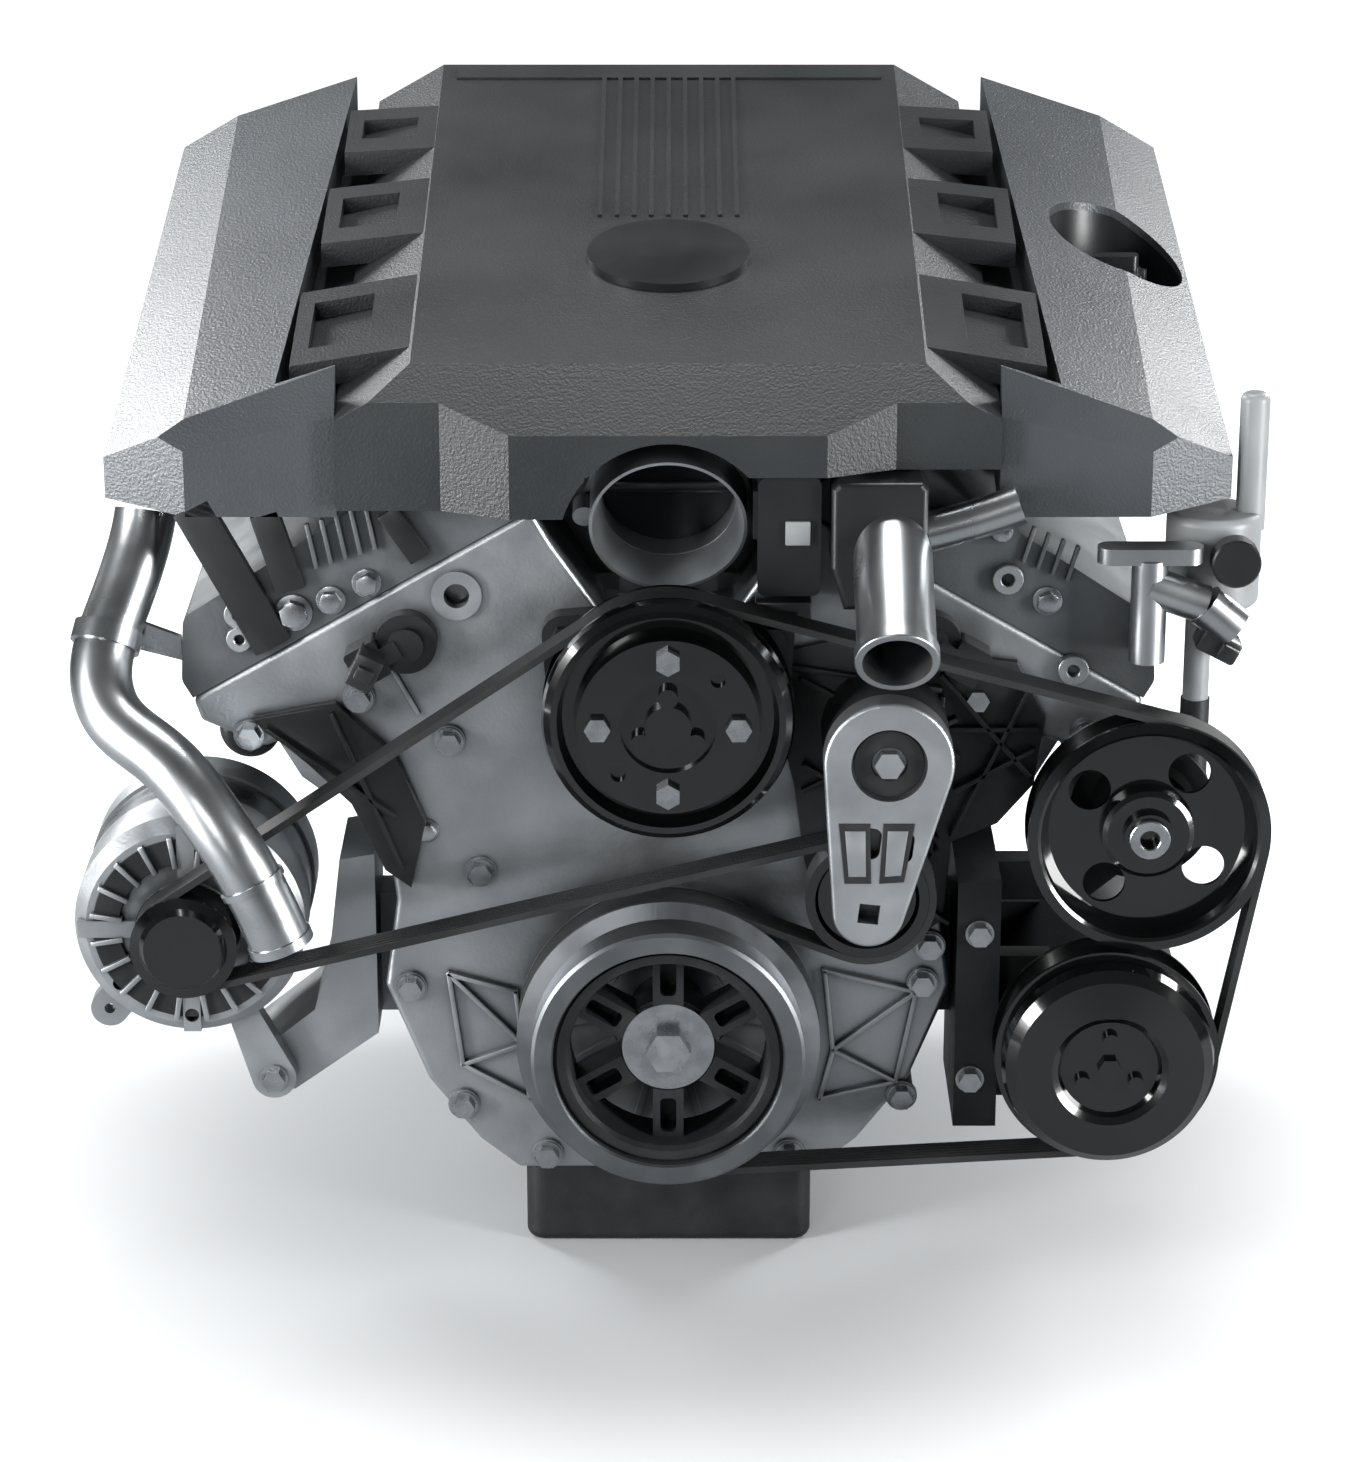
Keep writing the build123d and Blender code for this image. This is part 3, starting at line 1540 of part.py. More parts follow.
with BuildPart() as engine_cover:
    add(hood_solid.part)
    add(hood_solid.part.moved(Location((0, skin, -skin))), mode=Mode.SUBTRACT)
    for y_front, y_rear in fins:
        run = (y_rear - y_front) / math.cos(math.radians(cover_tilt))
        for side in sides.values():
            t = (y_front - wing_edge[0][1]) / (wing_edge[1][1] - wing_edge[0][1])
            x_end = wing_edge[0][0] + t * (wing_edge[1][0] - wing_edge[0][0]) - 6
            z_end = wing_edge[0][2] + t * (wing_edge[1][2] - wing_edge[0][2]) + 1
            z_hood = hood_height(y_front)
            with BuildSketch(front(y_front)):
                Polygon(
                    (side * (hood_width / 2 - 4), z_hood),
                    (side * x_end, z_end),
                    (side * x_end, z_end - 16),
                    (side * (hood_width / 2 - 4), z_hood - 16),
                    align=None,
                )
            extrude(
                amount=run, dir=(0, math.cos(math.radians(cover_tilt)), math.sin(math.radians(cover_tilt)))
            )
            with BuildSketch(front(y_front + 20)):
                Polygon(
                    (side * (x_end - 52), z_end + 40),
                    (side * (x_end - 10), z_end + 40),
                    (side * (x_end - 10), z_end - 5),
                    (side * (x_end - 46), z_end - 5 + 8),
                    align=None,
                )
            extrude(
                amount=run - 38,
                dir=(0, math.cos(math.radians(cover_tilt)), math.sin(math.radians(cover_tilt))),
                mode=Mode.SUBTRACT,
            )
    with BuildSketch(front(fascia_y - 5)):
        with Locations((0, arch_z)):
            Circle(arch_radius)
    extrude(amount=-60, mode=Mode.SUBTRACT)
    with BuildSketch(front(fascia_y - 5)):
        Polygon(
            (-50, fascia_bottom - 5),
            (seam_x + 5, fascia_bottom - 5),
            (seam_x + 5, seam_z),
            (-50, seam_z),
            align=None,
        )
    extrude(amount=-30, mode=Mode.SUBTRACT)
    with BuildSketch(hood_plane(0)):
        for k in range(9):
            with Locations(((k - 4) * 11, 320)):
                Rectangle(3, 230)
        with Locations((0, hood_length - 6)):
            Rectangle(hood_width - 20, 20)
    extrude(amount=1.6)
engine_cover.part.label = "engine_cover"
export_step(engine_cover.part, "parts/engine_cover.step")

badge_y = -299.0
badge_size = (102.0, 94.0)
with BuildPart() as cover_badge:
    with BuildSketch(hood_plane(0)):
        with Locations((0, (badge_y - hood_front_y) / math.cos(math.radians(cover_tilt)))):
            Ellipse(badge_size[0] / 2, badge_size[1] / 2)
    extrude(amount=5)
cover_badge.part.label = "cover_badge"
export_step(cover_badge.part, "parts/cover_badge.step")

for name, side in sides.items():
    with BuildPart(mode=Mode.PRIVATE) as wing_solid:
        with BuildSketch(Plane.XY.offset(325)):
            Polygon(
                *[(side * x, y) for x, y in (
                    (seam_x + seat_gap, wing_fascia_y),
                    (crease[0][0], wing_fascia_y),
                    wing_corner[:2],
                    wing_rear_corner[:2],
                    (seam_x + seat_gap, wing_rear_corner[1]),
                )],
                align=None,
            )
        extrude(amount=250)
        split(
            bisect_by=plane_through(
                on_side(side, wing_edge[0]), on_side(side, crease[0]), on_side(side, crease[1])
            ),
            keep=Keep.BOTTOM,
        )
        split(
            bisect_by=plane_through(
                on_side(side, crease[0]), on_side(side, crease[1]), on_side(side, wing_corner)
            ),
            keep=Keep.BOTTOM,
        )
        split(
            bisect_by=plane_through(
                (side * seam_x, wing_fascia_y, 388),
                (side * crease[0][0], wing_fascia_y, 366),
                on_side(side, wing_edge[0]),
            ),
            keep=Keep.BOTTOM,
        )
        split(
            bisect_by=plane_through(
                (0, wing_fascia_y, 325), (50, wing_fascia_y, 325), (0, wing_rear_corner[1], 425)
            ),
            keep=Keep.TOP,
        )
    top_plane = plane_through(on_side(side, wing_edge[0]), on_side(side, crease[0]), on_side(side, crease[1]))
    with BuildPart(mode=Mode.PRIVATE) as channel:
        with BuildSketch(Plane.XY.offset(300)):
            Polygon(
                *[(side * x, y) for x, y in (
                    (seam_x - 5, wing_edge[0][1] + 4),
                    (wing_edge[0][0], wing_edge[0][1] + 4),
                    (wing_edge[1][0], wing_edge[1][1] + 5),
                    (seam_x - 5, wing_edge[1][1] + 5),
                )],
                align=None,
            )
        extrude(amount=300)
        split(bisect_by=top_plane.offset(-channel_depth), keep=Keep.TOP)
    hull = wing_solid.part - channel.part
    with BuildPart(mode=Mode.PRIVATE) as hollow:
        add(hull.moved(Location((-side * wing_wall, skin, -skin))))
        add(hull.moved(Location((side * wing_wall, skin, -skin))), mode=Mode.INTERSECT)
    with BuildPart() as cover_wing:
        add(hull)
        add(hollow.part, mode=Mode.SUBTRACT)
        if side > 0:
            with BuildSketch(Plane.XY.offset(cap_top - 40)):
                with Locations(filler_hole_at):
                    Circle(filler_hole)
            extrude(amount=120, mode=Mode.SUBTRACT)
    cover_wing.part.label = name + "_cover_wing"
    export_step(cover_wing.part, "parts/" + name + "_cover_wing.step")


# Oil filler cap with its grip
with BuildPart() as oil_filler_cap:
    with BuildSketch(Plane.XY.offset(filler_top + seat_gap)):
        with Locations(filler_at):
            Circle(30)
            with PolarLocations(30, 12):
                Circle(3)
    extrude(amount=cap_top - filler_top - 8 - seat_gap)
    with BuildSketch(Plane.XY.offset(cap_top - 8)):
        with Locations(filler_at):
            RectangleRounded(54, 12, 4)
    extrude(amount=10)
    with BuildSketch(Plane.XY.offset(filler_top + 1)):
        with Locations(filler_at):
            Circle(filler_bore - running_clearance)
    extrude(amount=-14)
oil_filler_cap.part.label = "oil_filler_cap"
export_step(oil_filler_cap.part, "parts/oil_filler_cap.step")

# Thermostat housing, coolant outlet and pipes
outlet_tilt = 31.0
outlet_mouth = (135.0, -552.0, 265.0)
outlet_radius = 23.8
thermostat_front = -482.0
outlet_run, outlet_rise = math.cos(math.radians(outlet_tilt)), math.sin(math.radians(outlet_tilt))
outlet_plane = Plane(origin=outlet_mouth, x_dir=(1, 0, 0), z_dir=(0, outlet_run, outlet_rise))
with BuildPart() as thermostat_housing:
    with BuildSketch(front(cover_front)):
        Polygon(
            (98, 350),
            (102, 354),
            (152, 354),
            (156, 350),
            (156, 300),
            (146, 274),
            (106, 274),
            (98, 300),
            align=None,
        )
    extrude(amount=cover_front - thermostat_front)
    fillet(thermostat_housing.faces().sort_by(Axis.Y)[0].edges(), 4)
    with BuildSketch(outlet_plane):
        Circle(outlet_radius - 3)
    extrude(amount=112, mode=Mode.SUBTRACT)
thermostat_housing.part.label = "thermostat_housing"
export_step(thermostat_housing.part, "parts/thermostat_housing.step")

bypass_radius = 12.2
bypass_path = [(146.0, -468.0, 317.0), (180.0, -468.0, 326.0), (212.0, -468.0, 337.0)]
with BuildPart(mode=Mode.PRIVATE) as bypass_tube:
    with BuildLine() as bypass_line:
        Spline(*bypass_path)
    with BuildSketch(bypass_line.line ^ 0):
        Circle(bypass_radius)
        Circle(bypass_radius - 2, mode=Mode.SUBTRACT)
    sweep()
    split(bisect_by=Plane.YZ.offset(156), keep=Keep.TOP)
with BuildPart() as coolant_tubes:
    with BuildSketch(outlet_plane):
        Circle(outlet_radius)
    extrude(amount=140)
    with BuildSketch(outlet_plane):
        Circle(outlet_radius + 1.6)
    extrude(amount=9)
    fillet(coolant_tubes.faces().sort_by(Axis.Y)[0].edges(), 1.2)
    split(bisect_by=Plane.XZ.offset(-thermostat_front), keep=Keep.TOP)
    with BuildSketch(outlet_plane):
        Circle(outlet_radius - 3)
    extrude(amount=140, mode=Mode.SUBTRACT)
    add(bypass_tube.part)
coolant_tubes.part.label = "coolant_tubes"
export_step(coolant_tubes.part, "parts/coolant_tubes.step")

# Coolant pipe down the left side, with its brazed strap to the cam cover
pipe_radius = 19.0
pipe_path = [
    (-234.0, -535.0, 78.0),
    (-252.0, -533.0, 120.0),
    (-279.0, -522.0, 162.0),
    (-307.0, -503.0, 188.0),
    (-338.0, -482.0, 208.0),
    (-346.0, -462.0, 232.0),
    (-338.0, -443.0, 260.0),
    (-327.0, -424.0, 290.0),
    (-321.0, -412.0, 316.0),
]
strap_y = -440.0
strap_end = bank_point(-1, joint_outer + seat_gap, head_top + 8)[0] - 1.9
with BuildPart() as coolant_pipe:
    with BuildLine() as pipe_line:
        Spline(*pipe_path)
    with BuildSketch(pipe_line.line ^ 0):
        Circle(pipe_radius)
    sweep()
    with BuildSketch(pipe_line.line ^ 0):
        Circle(pipe_radius + 1.2)
    extrude(amount=6)
    with BuildSketch(pipe_line.line ^ 0.13):
        Circle(pipe_radius + 1.6)
    extrude(amount=4)
    with BuildSketch(pipe_line.line ^ 0.72):
        Circle(pipe_radius + 2.5)
    extrude(amount=12)
    with BuildSketch(front(strap_y)):
        Polygon((-336, 240), (strap_end, 230), (strap_end, 245), (-332, 258), align=None)
    extrude(amount=5)
    with BuildLine() as bore_line:
        Spline(*pipe_path)
    with BuildSketch(bore_line.line ^ 0):
        Circle(pipe_radius - 2)
    sweep(path=bore_line.line, mode=Mode.SUBTRACT)
coolant_pipe.part.label = "coolant_pipe"
export_step(coolant_pipe.part, "parts/coolant_pipe.step")

# Exhaust manifolds
log_at = (166.0, deck_height + 34)
log_radius = 20.0
log_front = -322.0
log_rear = -92.0
port_up = deck_height + 44
for name, side in sides.items():
    log_x, log_z = bank_point(side, *log_at)
    with BuildPart() as exhaust_manifold:
        with BuildSketch(front(log_rear)):
            with Locations((log_x, log_z)):
                Circle(log_radius)
        extrude(amount=log_rear - log_front)
        fillet(exhaust_manifold.faces().sort_by(Axis.Y)[0].edges(), 8)
        for i in range(3):
            x, z = bank_point(side, exhaust_face, port_up)
            port = Plane(
                origin=(x, bore_y(side, i), z),
                x_dir=(0, 1, 0),
                z_dir=(side * cos_bank, 0, -sin_bank),
            )
            with BuildSketch(port):
                RectangleRounded(76, 44, 14)
            extrude(amount=8)
            with BuildSketch(port):
                SlotOverall(52, 34)
            extrude(amount=34)
        with BuildSketch(Plane((log_x, log_rear - 22, log_z))):
            Circle(24)
        extrude(amount=-52)
        with BuildSketch(Plane((log_x, log_rear - 22, log_z - 52))):
            Circle(36)
        extrude(amount=-9)
        with BuildSketch(Plane((log_x, log_rear - 22, log_z - 62))):
            Circle(19)
        extrude(amount=50, mode=Mode.SUBTRACT)
    exhaust_manifold.part.label = name + "_exhaust_manifold"
    export_step(exhaust_manifold.part, "parts/" + name + "_exhaust_manifold.step")

# Cam timing solenoids on the timing cover's arms
with BuildPart() as cam_solenoids:
    for side in sides.values():
        with BuildSketch(front(cover_front)):
            with Locations((side * 160, 246)):
                Circle(19)
        extrude(amount=12)
        with BuildSketch(front(cover_front - 12)):
            with Locations((side * 160, 246)):
                Circle(11)
        extrude(amount=5)
        with BuildSketch(front(cover_front)):
            with Locations(Location((side * 183, 235, 0), side * 60)):
                RectangleRounded(24, 22, 3)
            with Locations(Location((side * 171, 241, 0), side * 60)):
                Rectangle(12, 16)
        extrude(amount=19)
cam_solenoids.part.label = "cam_solenoids"
export_step(cam_solenoids.part, "parts/cam_solenoids.step")

# Right side: fluid reservoir on the steering pump's side of the engine, air valve fittings and their plug
reservoir_at = (334.0, -425.0)
reservoir_radius = 29.0
reservoir_bottom = 262.0
reservoir_top = 321.0
neck_at = (reservoir_at[0] + 22, reservoir_at[1])
neck_top = reservoir_top + 74
filler_at = (reservoir_at[0] + 9, reservoir_top - 21)
filler_reach = 34.0
with BuildPart() as reservoir:
    with BuildSketch(Plane.XY.offset(reservoir_bottom)):
        with Locations(reservoir_at):
            Circle(reservoir_radius)
    extrude(amount=reservoir_top - reservoir_bottom)
    fillet(reservoir.edges().filter_by(GeomType.CIRCLE), 5)
    with BuildSketch(Plane.XY.offset(reservoir_top - 12)):
        with Locations(neck_at):
            Circle(9)
    extrude(amount=neck_top - reservoir_top + 12)
    fillet(reservoir.faces().sort_by(Axis.Z)[-1].edges(), 5)
    with BuildSketch(front(reservoir_at[1])):
        with Locations(filler_at):
            Circle(13)
    extrude(amount=filler_reach)
    with BuildSketch(Plane.XY.offset(hose_joint)):
        with Locations(hose_at):
            Circle(8)
    extrude(amount=reservoir_bottom - hose_joint + 4)
reservoir.part.label = "reservoir"
export_step(reservoir.part, "parts/reservoir.step")

with BuildPart() as reservoir_cap:
    with BuildSketch(front(reservoir_at[1] - filler_reach)):
        with Locations(filler_at):
            Circle(15)
    extrude(amount=13)
    chamfer(reservoir_cap.faces().sort_by(Axis.Y)[0].edges(), 1.2)
reservoir_cap.part.label = "reservoir_cap"
export_step(reservoir_cap.part, "parts/reservoir_cap.step")


# Air valve on the front of the right cam cover: a flanged body with a side outlet
valve_at = (291.0, -468.0)
with BuildPart() as air_valve:
    with BuildSketch(Plane.XY.offset(301)):
        with Locations(valve_at, (268, -468), (314, -468)):
            Circle(9)
        make_hull()
    extrude(amount=10)
    with BuildSketch(Plane.XY.offset(238)):
        with Locations(valve_at):
            Circle(11)
    extrude(amount=65)
    with BuildSketch(front(cam_cover_front)):
        with Locations((valve_at[0] - 1, 247)):
            Rectangle(16, 17)
    extrude(amount=cam_cover_front - valve_at[1])
    with BuildSketch(Plane((valve_at[0], valve_at[1], 286), x_dir=(0, 1, 0), z_dir=(0.94, 0, -0.34))):
        Circle(12)
    extrude(amount=36)
    with BuildSketch(Plane((valve_at[0] + 34, valve_at[1], 273.8), x_dir=(0, 1, 0), z_dir=(0.77, 0, -0.64))):
        Circle(13.5)
    extrude(amount=24)
air_valve.part.label = "air_valve"
export_step(air_valve.part, "parts/air_valve.step")
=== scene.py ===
"""The look of a V6 car engine standing on its sump, seen from the front and a little above."""

import math

import bmesh
import bpy
from mathutils import Matrix, Vector
from mathutils.bvhtree import BVHTree


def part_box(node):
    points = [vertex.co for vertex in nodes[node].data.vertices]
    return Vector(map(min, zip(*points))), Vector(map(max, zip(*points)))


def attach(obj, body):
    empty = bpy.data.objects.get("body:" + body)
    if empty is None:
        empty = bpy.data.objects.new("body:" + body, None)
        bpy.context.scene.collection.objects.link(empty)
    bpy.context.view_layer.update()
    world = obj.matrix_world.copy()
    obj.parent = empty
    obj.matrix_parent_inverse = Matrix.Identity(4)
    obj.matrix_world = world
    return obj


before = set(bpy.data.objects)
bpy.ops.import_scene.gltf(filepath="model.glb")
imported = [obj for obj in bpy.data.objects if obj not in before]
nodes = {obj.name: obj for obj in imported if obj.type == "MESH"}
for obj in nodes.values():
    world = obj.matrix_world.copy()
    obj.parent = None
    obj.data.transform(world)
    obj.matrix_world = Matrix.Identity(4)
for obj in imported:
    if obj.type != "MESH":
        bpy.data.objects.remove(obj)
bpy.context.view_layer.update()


# Camera: level across, looking down at the engine's front
look_down = 20.0
camera_data = bpy.data.cameras.new("camera")
camera_data.sensor_fit = "VERTICAL"
camera_data.sensor_height = 36.0
camera_data.lens = 105.88
camera_data.clip_end = 60.0
camera = bpy.data.objects.new("camera", camera_data)
camera.location = (0.0042, -2.9415, 1.0924)
camera.rotation_euler = (math.radians(90.0 - look_down), 0.0, 0.0)
bpy.context.scene.collection.objects.link(camera)
bpy.context.scene.camera = camera


def linear(colour):
    """A colour written as sRGB hex, such as "3a3c3e", as linear red, green, blue and alpha."""
    parts = [int(colour[k : k + 2], 16) / 255 for k in (0, 2, 4)]
    return [c / 12.92 if c <= 0.04045 else ((c + 0.055) / 1.055) ** 2.4 for c in parts] + [1.0]


def add_node(tree, kind, inputs=None, **settings):
    """Adds a node with its settings. An input is a value, or another node's output to link."""
    made = tree.nodes.new(kind)
    for name, value in settings.items():
        setattr(made, name, value)
    for socket, value in (inputs or {}).items():
        if isinstance(value, bpy.types.NodeSocket):
            tree.links.new(value, made.inputs[socket])
        else:
            made.inputs[socket].default_value = value
    return made


def pattern_scale(millimetres):
    """The texture scale at which a noise pattern's features are this wide."""
    return 1000.0 / millimetres


def surface(
    name, pale, dark, metallic, roughness, grain, depth, patch=70.0, spread=0.06, coat=0.0, painted_corner_shade=0.0
):
    """A procedural finish. Its colours are hex, and its lengths are in millimetres.

    The colour drifts slowly between pale and dark in patches of the width patch, and spread is how far
    the roughness drifts with it. grain is the texture's size and depth its height. coat is the weight of
    a clear coat, and the last argument is painted shade: how much darker ambient occlusion makes the
    colour in corners and hollows, where shade falls.
    """
    made = bpy.data.materials.new(name)
    made.use_nodes = True
    tree = made.node_tree
    tree.nodes.clear()
    place = add_node(tree, "ShaderNodeTexCoord").outputs["Object"]
    drift = add_node(
        tree, "ShaderNodeTexNoise", {"Vector": place, "Scale": pattern_scale(patch), "Detail": 4.0}
    ).outputs["Fac"]
    drift_low, drift_high = 0.3, 0.7
    tint = add_node(tree, "ShaderNodeValToRGB", {"Fac": drift})
    ramp = tint.color_ramp.elements
    ramp[0].position, ramp[0].color = drift_low, linear(dark)
    ramp[1].position, ramp[1].color = drift_high, linear(pale)
    colour = tint.outputs["Color"]
    # Painted shade: ambient occlusion darkens the colour in corners and hollows, where shade falls.
    if painted_corner_shade:
        corner = add_node(tree, "ShaderNodeAmbientOcclusion", {"Distance": 0.05}, samples=6)
        shade = add_node(
            tree,
            "ShaderNodeMapRange",
            {"Value": corner.outputs["AO"], "To Min": 1.0 - painted_corner_shade, "To Max": 1.0},
        )
        mixed = add_node(
            tree,
            "ShaderNodeMix",
            {"Factor": 1.0, 6: colour, 7: shade.outputs["Result"]},
            data_type="RGBA",
            blend_type="MULTIPLY",
        )
        colour = mixed.outputs[2]
    dulling = add_node(
        tree,
        "ShaderNodeMapRange",
        {
            "Value": drift,
            "From Min": drift_low,
            "From Max": drift_high,
            "To Min": max(roughness - spread, 0.03),
            "To Max": roughness + spread,
        },
    )
    grit = add_node(
        tree, "ShaderNodeTexNoise", {"Vector": place, "Scale": pattern_scale(grain), "Detail": 3.0}
    )
    relief = add_node(
        tree,
        "ShaderNodeBump",
        {"Height": grit.outputs["Fac"], "Strength": 1.0, "Distance": depth / 1000.0},
    )
    shader = add_node(
        tree,
        "ShaderNodeBsdfPrincipled",
        {
            "Base Color": colour,
            "Metallic": metallic,
            "Roughness": dulling.outputs["Result"],
            "Coat Weight": coat,
            "Normal": relief.outputs["Normal"],
        },
    )
    add_node(tree, "ShaderNodeOutputMaterial", {"Surface": shader.outputs["BSDF"]})
    return made


# Where a finish below sets how dark its corners are, that darkening is painted shade.
# Glass-filled nylon, moulded in a spark-eroded tool: a fine even grain that scatters light.
# The grain is about 0.5 mm, and is drawn at 1.8 mm so that it shows.
grained_black_nylon = surface(
    "grained_black_nylon", "25282a", "1e2123", 0.0, 0.44, 1.8, 0.42, patch=120.0, painted_corner_shade=0.45
)
# The same grained black nylon as the cover, for the outer panels, drawn lighter and partly metallic:
# painted light for the brighter look the panels get from the light they catch.
painted_lit_black_nylon = surface(
    "painted_lit_black_nylon", "484b4e", "404346", 0.25, 0.38, 1.8, 0.42, patch=160.0, painted_corner_shade=0.45
)
# Smooth moulded nylon, for the small parts: it catches sharper highlights.
smooth_black_nylon = surface("smooth_black_nylon", "1c1e20", "151719", 0.0, 0.34, 3.0, 0.04)
# High-pressure die-cast aluminium, blasted: pale, with a soft sheen, and painted shade that darkens its
# corners.
die_cast_aluminium = surface(
    "die_cast_aluminium", "bcc0c3", "a8acb0", 0.9, 0.38, 2.2, 0.14, patch=38.0, painted_corner_shade=0.85
)
# Aluminium as it comes from a sand mould, for the block and heads: coarser and greyer.
sand_cast_aluminium = surface(
    "sand_cast_aluminium", "a0a4a7", "92969a", 0.8, 0.50, 3.0, 0.22, patch=35.0, painted_corner_shade=0.7
)
# Magnesium casting under a thin grey coat, for the cam covers: painted shade darkens its corners, and it
# has a soft sheen.
coated_magnesium = surface(
    "coated_magnesium", "74777a", "666a6d", 0.7, 0.42, 2.6, 0.18, patch=32.0, painted_corner_shade=0.85
)
# Dark metal for the throttle plate: painted shade, which keeps the throttle's bore dark.
painted_bore_shade = surface("painted_bore_shade", "3a3b3d", "2e2f31", 0.9, 0.35, 3.0, 0.02, patch=50.0)
# Natural nylon of the fluid reservoir: pale grey and waxy.
natural_nylon = surface("natural_nylon", "8d9092", "818486", 0.0, 0.42, 3.0, 0.05, patch=40.0, painted_corner_shade=0.35)
# Turned and polished tube and pipe: bright, with faint marks.
polished_tube = surface(
    "polished_tube", "c2c5c7", "aeb2b5", 1.0, 0.30, 4.0, 0.03, patch=60.0, spread=0.05, painted_corner_shade=0.3
)
# Forged and ground steel: bright and even.
ground_steel = surface("ground_steel", "9c9fa2", "83868a", 1.0, 0.30, 2.5, 0.03, patch=25.0, painted_corner_shade=0.4)
# Zinc plated fasteners: the brightest metal here.
zinc_plate = surface("zinc_plate", "c3c6c9", "a6aaae", 1.0, 0.28, 2.0, 0.03, patch=12.0, painted_corner_shade=0.5)
# Pressed steel under black cathodic paint: deep black and glossy.
black_enamel = surface("black_enamel", "08090a", "050606", 0.0, 0.14, 9.0, 0.02, spread=0.03, coat=0.7)
# Cast iron under a thin dark paint: rough, with a dull sheen.
painted_iron = surface("painted_iron", "2a2c2e", "1c1e20", 0.3, 0.46, 2.4, 0.18, patch=30.0, painted_corner_shade=0.4)
# The damper's outer ring, of turned iron: bare and grey.
turned_iron = surface("turned_iron", "7b7e81", "66696c", 0.9, 0.38, 2.0, 0.05, patch=40.0, painted_corner_shade=0.3)
# Ribbed EPDM belt and the damper's bonded ring: matt, slightly grey.
epdm_rubber = surface("epdm_rubber", "1b1c1d", "121314", 0.0, 0.62, 1.4, 0.06, patch=30.0)

# Which CAD nodes carry each finish
finishes = {
    grained_black_nylon: ["engine_cover"],
    painted_lit_black_nylon: ["left_cover_wing", "right_cover_wing"],
    smooth_black_nylon: [
        "cover_badge", "ignition_coils", "oil_filler_cap", "reservoir_cap", "cam_solenoids",
        "throttle_actuator", "thermostat_housing",
    ],
    die_cast_aluminium: [
        "front_cover", "alternator_front_housing", "alternator_rear_housing", "alternator_bracket",
        "tensioner_arm", "throttle_housing", "upper_oil_pan", "intake_manifold",
    ],
    coated_magnesium: ["left_cam_cover", "right_cam_cover"],
    painted_bore_shade: ["throttle_plate"],
    natural_nylon: ["reservoir"],
    sand_cast_aluminium: ["block", "left_head", "right_head", "pistons"],
    polished_tube: ["coolant_pipe", "coolant_tubes", "air_valve"],
    ground_steel: [
        "crankshaft", "crank_sprocket", "left_intake_camshaft", "left_exhaust_camshaft",
        "right_intake_camshaft", "right_exhaust_camshaft", "alternator_rotor", "alternator_stator",
        "timing_chains",
    ],
    zinc_plate: ["flange_bolts", "pump_pulley_bolts", "crank_bolt"],
    black_enamel: [
        "water_pump_pulley", "steering_pulley", "compressor_pulley", "clutch_plate", "alternator_pulley",
        "tensioner_pulley", "water_pump_rotor",
    ],
    painted_iron: [
        "sump", "water_pump_housing", "accessory_bracket", "compressor_body", "steering_pump",
        "tensioner_base", "left_exhaust_manifold", "right_exhaust_manifold", "damper_hub",
    ],
    turned_iron: ["damper_ring"],
    epdm_rubber: ["drive_belt", "damper_rubber"],
}
for finish, members in finishes.items():
    for member in members:
        slots = nodes[member].data.materials
        slots.clear()
        slots.append(finish)


# Small pieces that the CAD leaves to the scene. Sizes and places are in millimetres, in the row frame.
# sunk is how deep most of them start inside the surface that carries them.
sunk = 0.6
bank_lean = math.radians(30.0)
skins = {}


def skin(node):
    """The surface of a CAD node, for lines of sight to meet. It is in metres."""
    if node not in skins:
        mesh = bmesh.new()
        mesh.from_mesh(nodes[node].data)
        skins[node] = BVHTree.FromBMesh(mesh)
        mesh.free()
    return skins[node]


def seat(carriers, x, z):
    """The depth y at which a line of sight from straight ahead first meets one of these CAD nodes."""
    depths = []
    for node in carriers.split():
        hit = skin(node).ray_cast(Vector((x / 1000, -1.0, z / 1000)), Vector((0.0, 1.0, 0.0)))[0]
        if hit is not None:
            depths.append(hit.y * 1000)
    if not depths:
        raise ValueError(f"nothing of {carriers} lies behind x {x}, z {z}")
    return min(depths)


def middle_of(start, end):
    """The point half way between two (x, z) points."""
    return ((start[0] + end[0]) / 2, (start[1] + end[1]) / 2)


def facing(x, y, z, turn=0.0):
    """Places a shape built along +Z so that it points to the front, turned about its own axis."""
    forward = Matrix.Rotation(math.radians(90.0), 4, "X")
    return Matrix.Translation((x, y, z)) @ forward @ Matrix.Rotation(math.radians(turn), 4, "Z")


def axis_of(place):
    """The direction in which a placed shape's own +Z points."""
    return place.to_3x3() @ Vector((0.0, 0.0, 1.0))


def soften(mesh, edges, width):
    """Rounds these edges with a narrow bevel."""
    bmesh.ops.bevel(
        mesh, geom=edges, offset=width, offset_type="OFFSET", segments=2, profile=0.5, affect="EDGES",
        material=-1, clamp_overlap=True,
    )


def finish_piece(name, mesh, look, body="engine"):
    """Makes a finished object of a mesh built in millimetres, and lets it ride on a body."""
    sharpest_smooth = math.radians(40.0)
    bmesh.ops.remove_doubles(mesh, verts=mesh.verts, dist=0.0005)
    bmesh.ops.recalc_face_normals(mesh, faces=mesh.faces)
    bmesh.ops.scale(mesh, vec=(0.001, 0.001, 0.001), verts=mesh.verts)
    data = bpy.data.meshes.new(name)
    for face in mesh.faces:
        face.smooth = True
    for edge in mesh.edges:
        edge.smooth = edge.calc_face_angle(0.0) < sharpest_smooth
    mesh.to_mesh(data)
    mesh.free()
    data.materials.append(look)
    piece = bpy.data.objects.new(name, data)
    bpy.context.scene.collection.objects.link(piece)
    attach(piece, body)


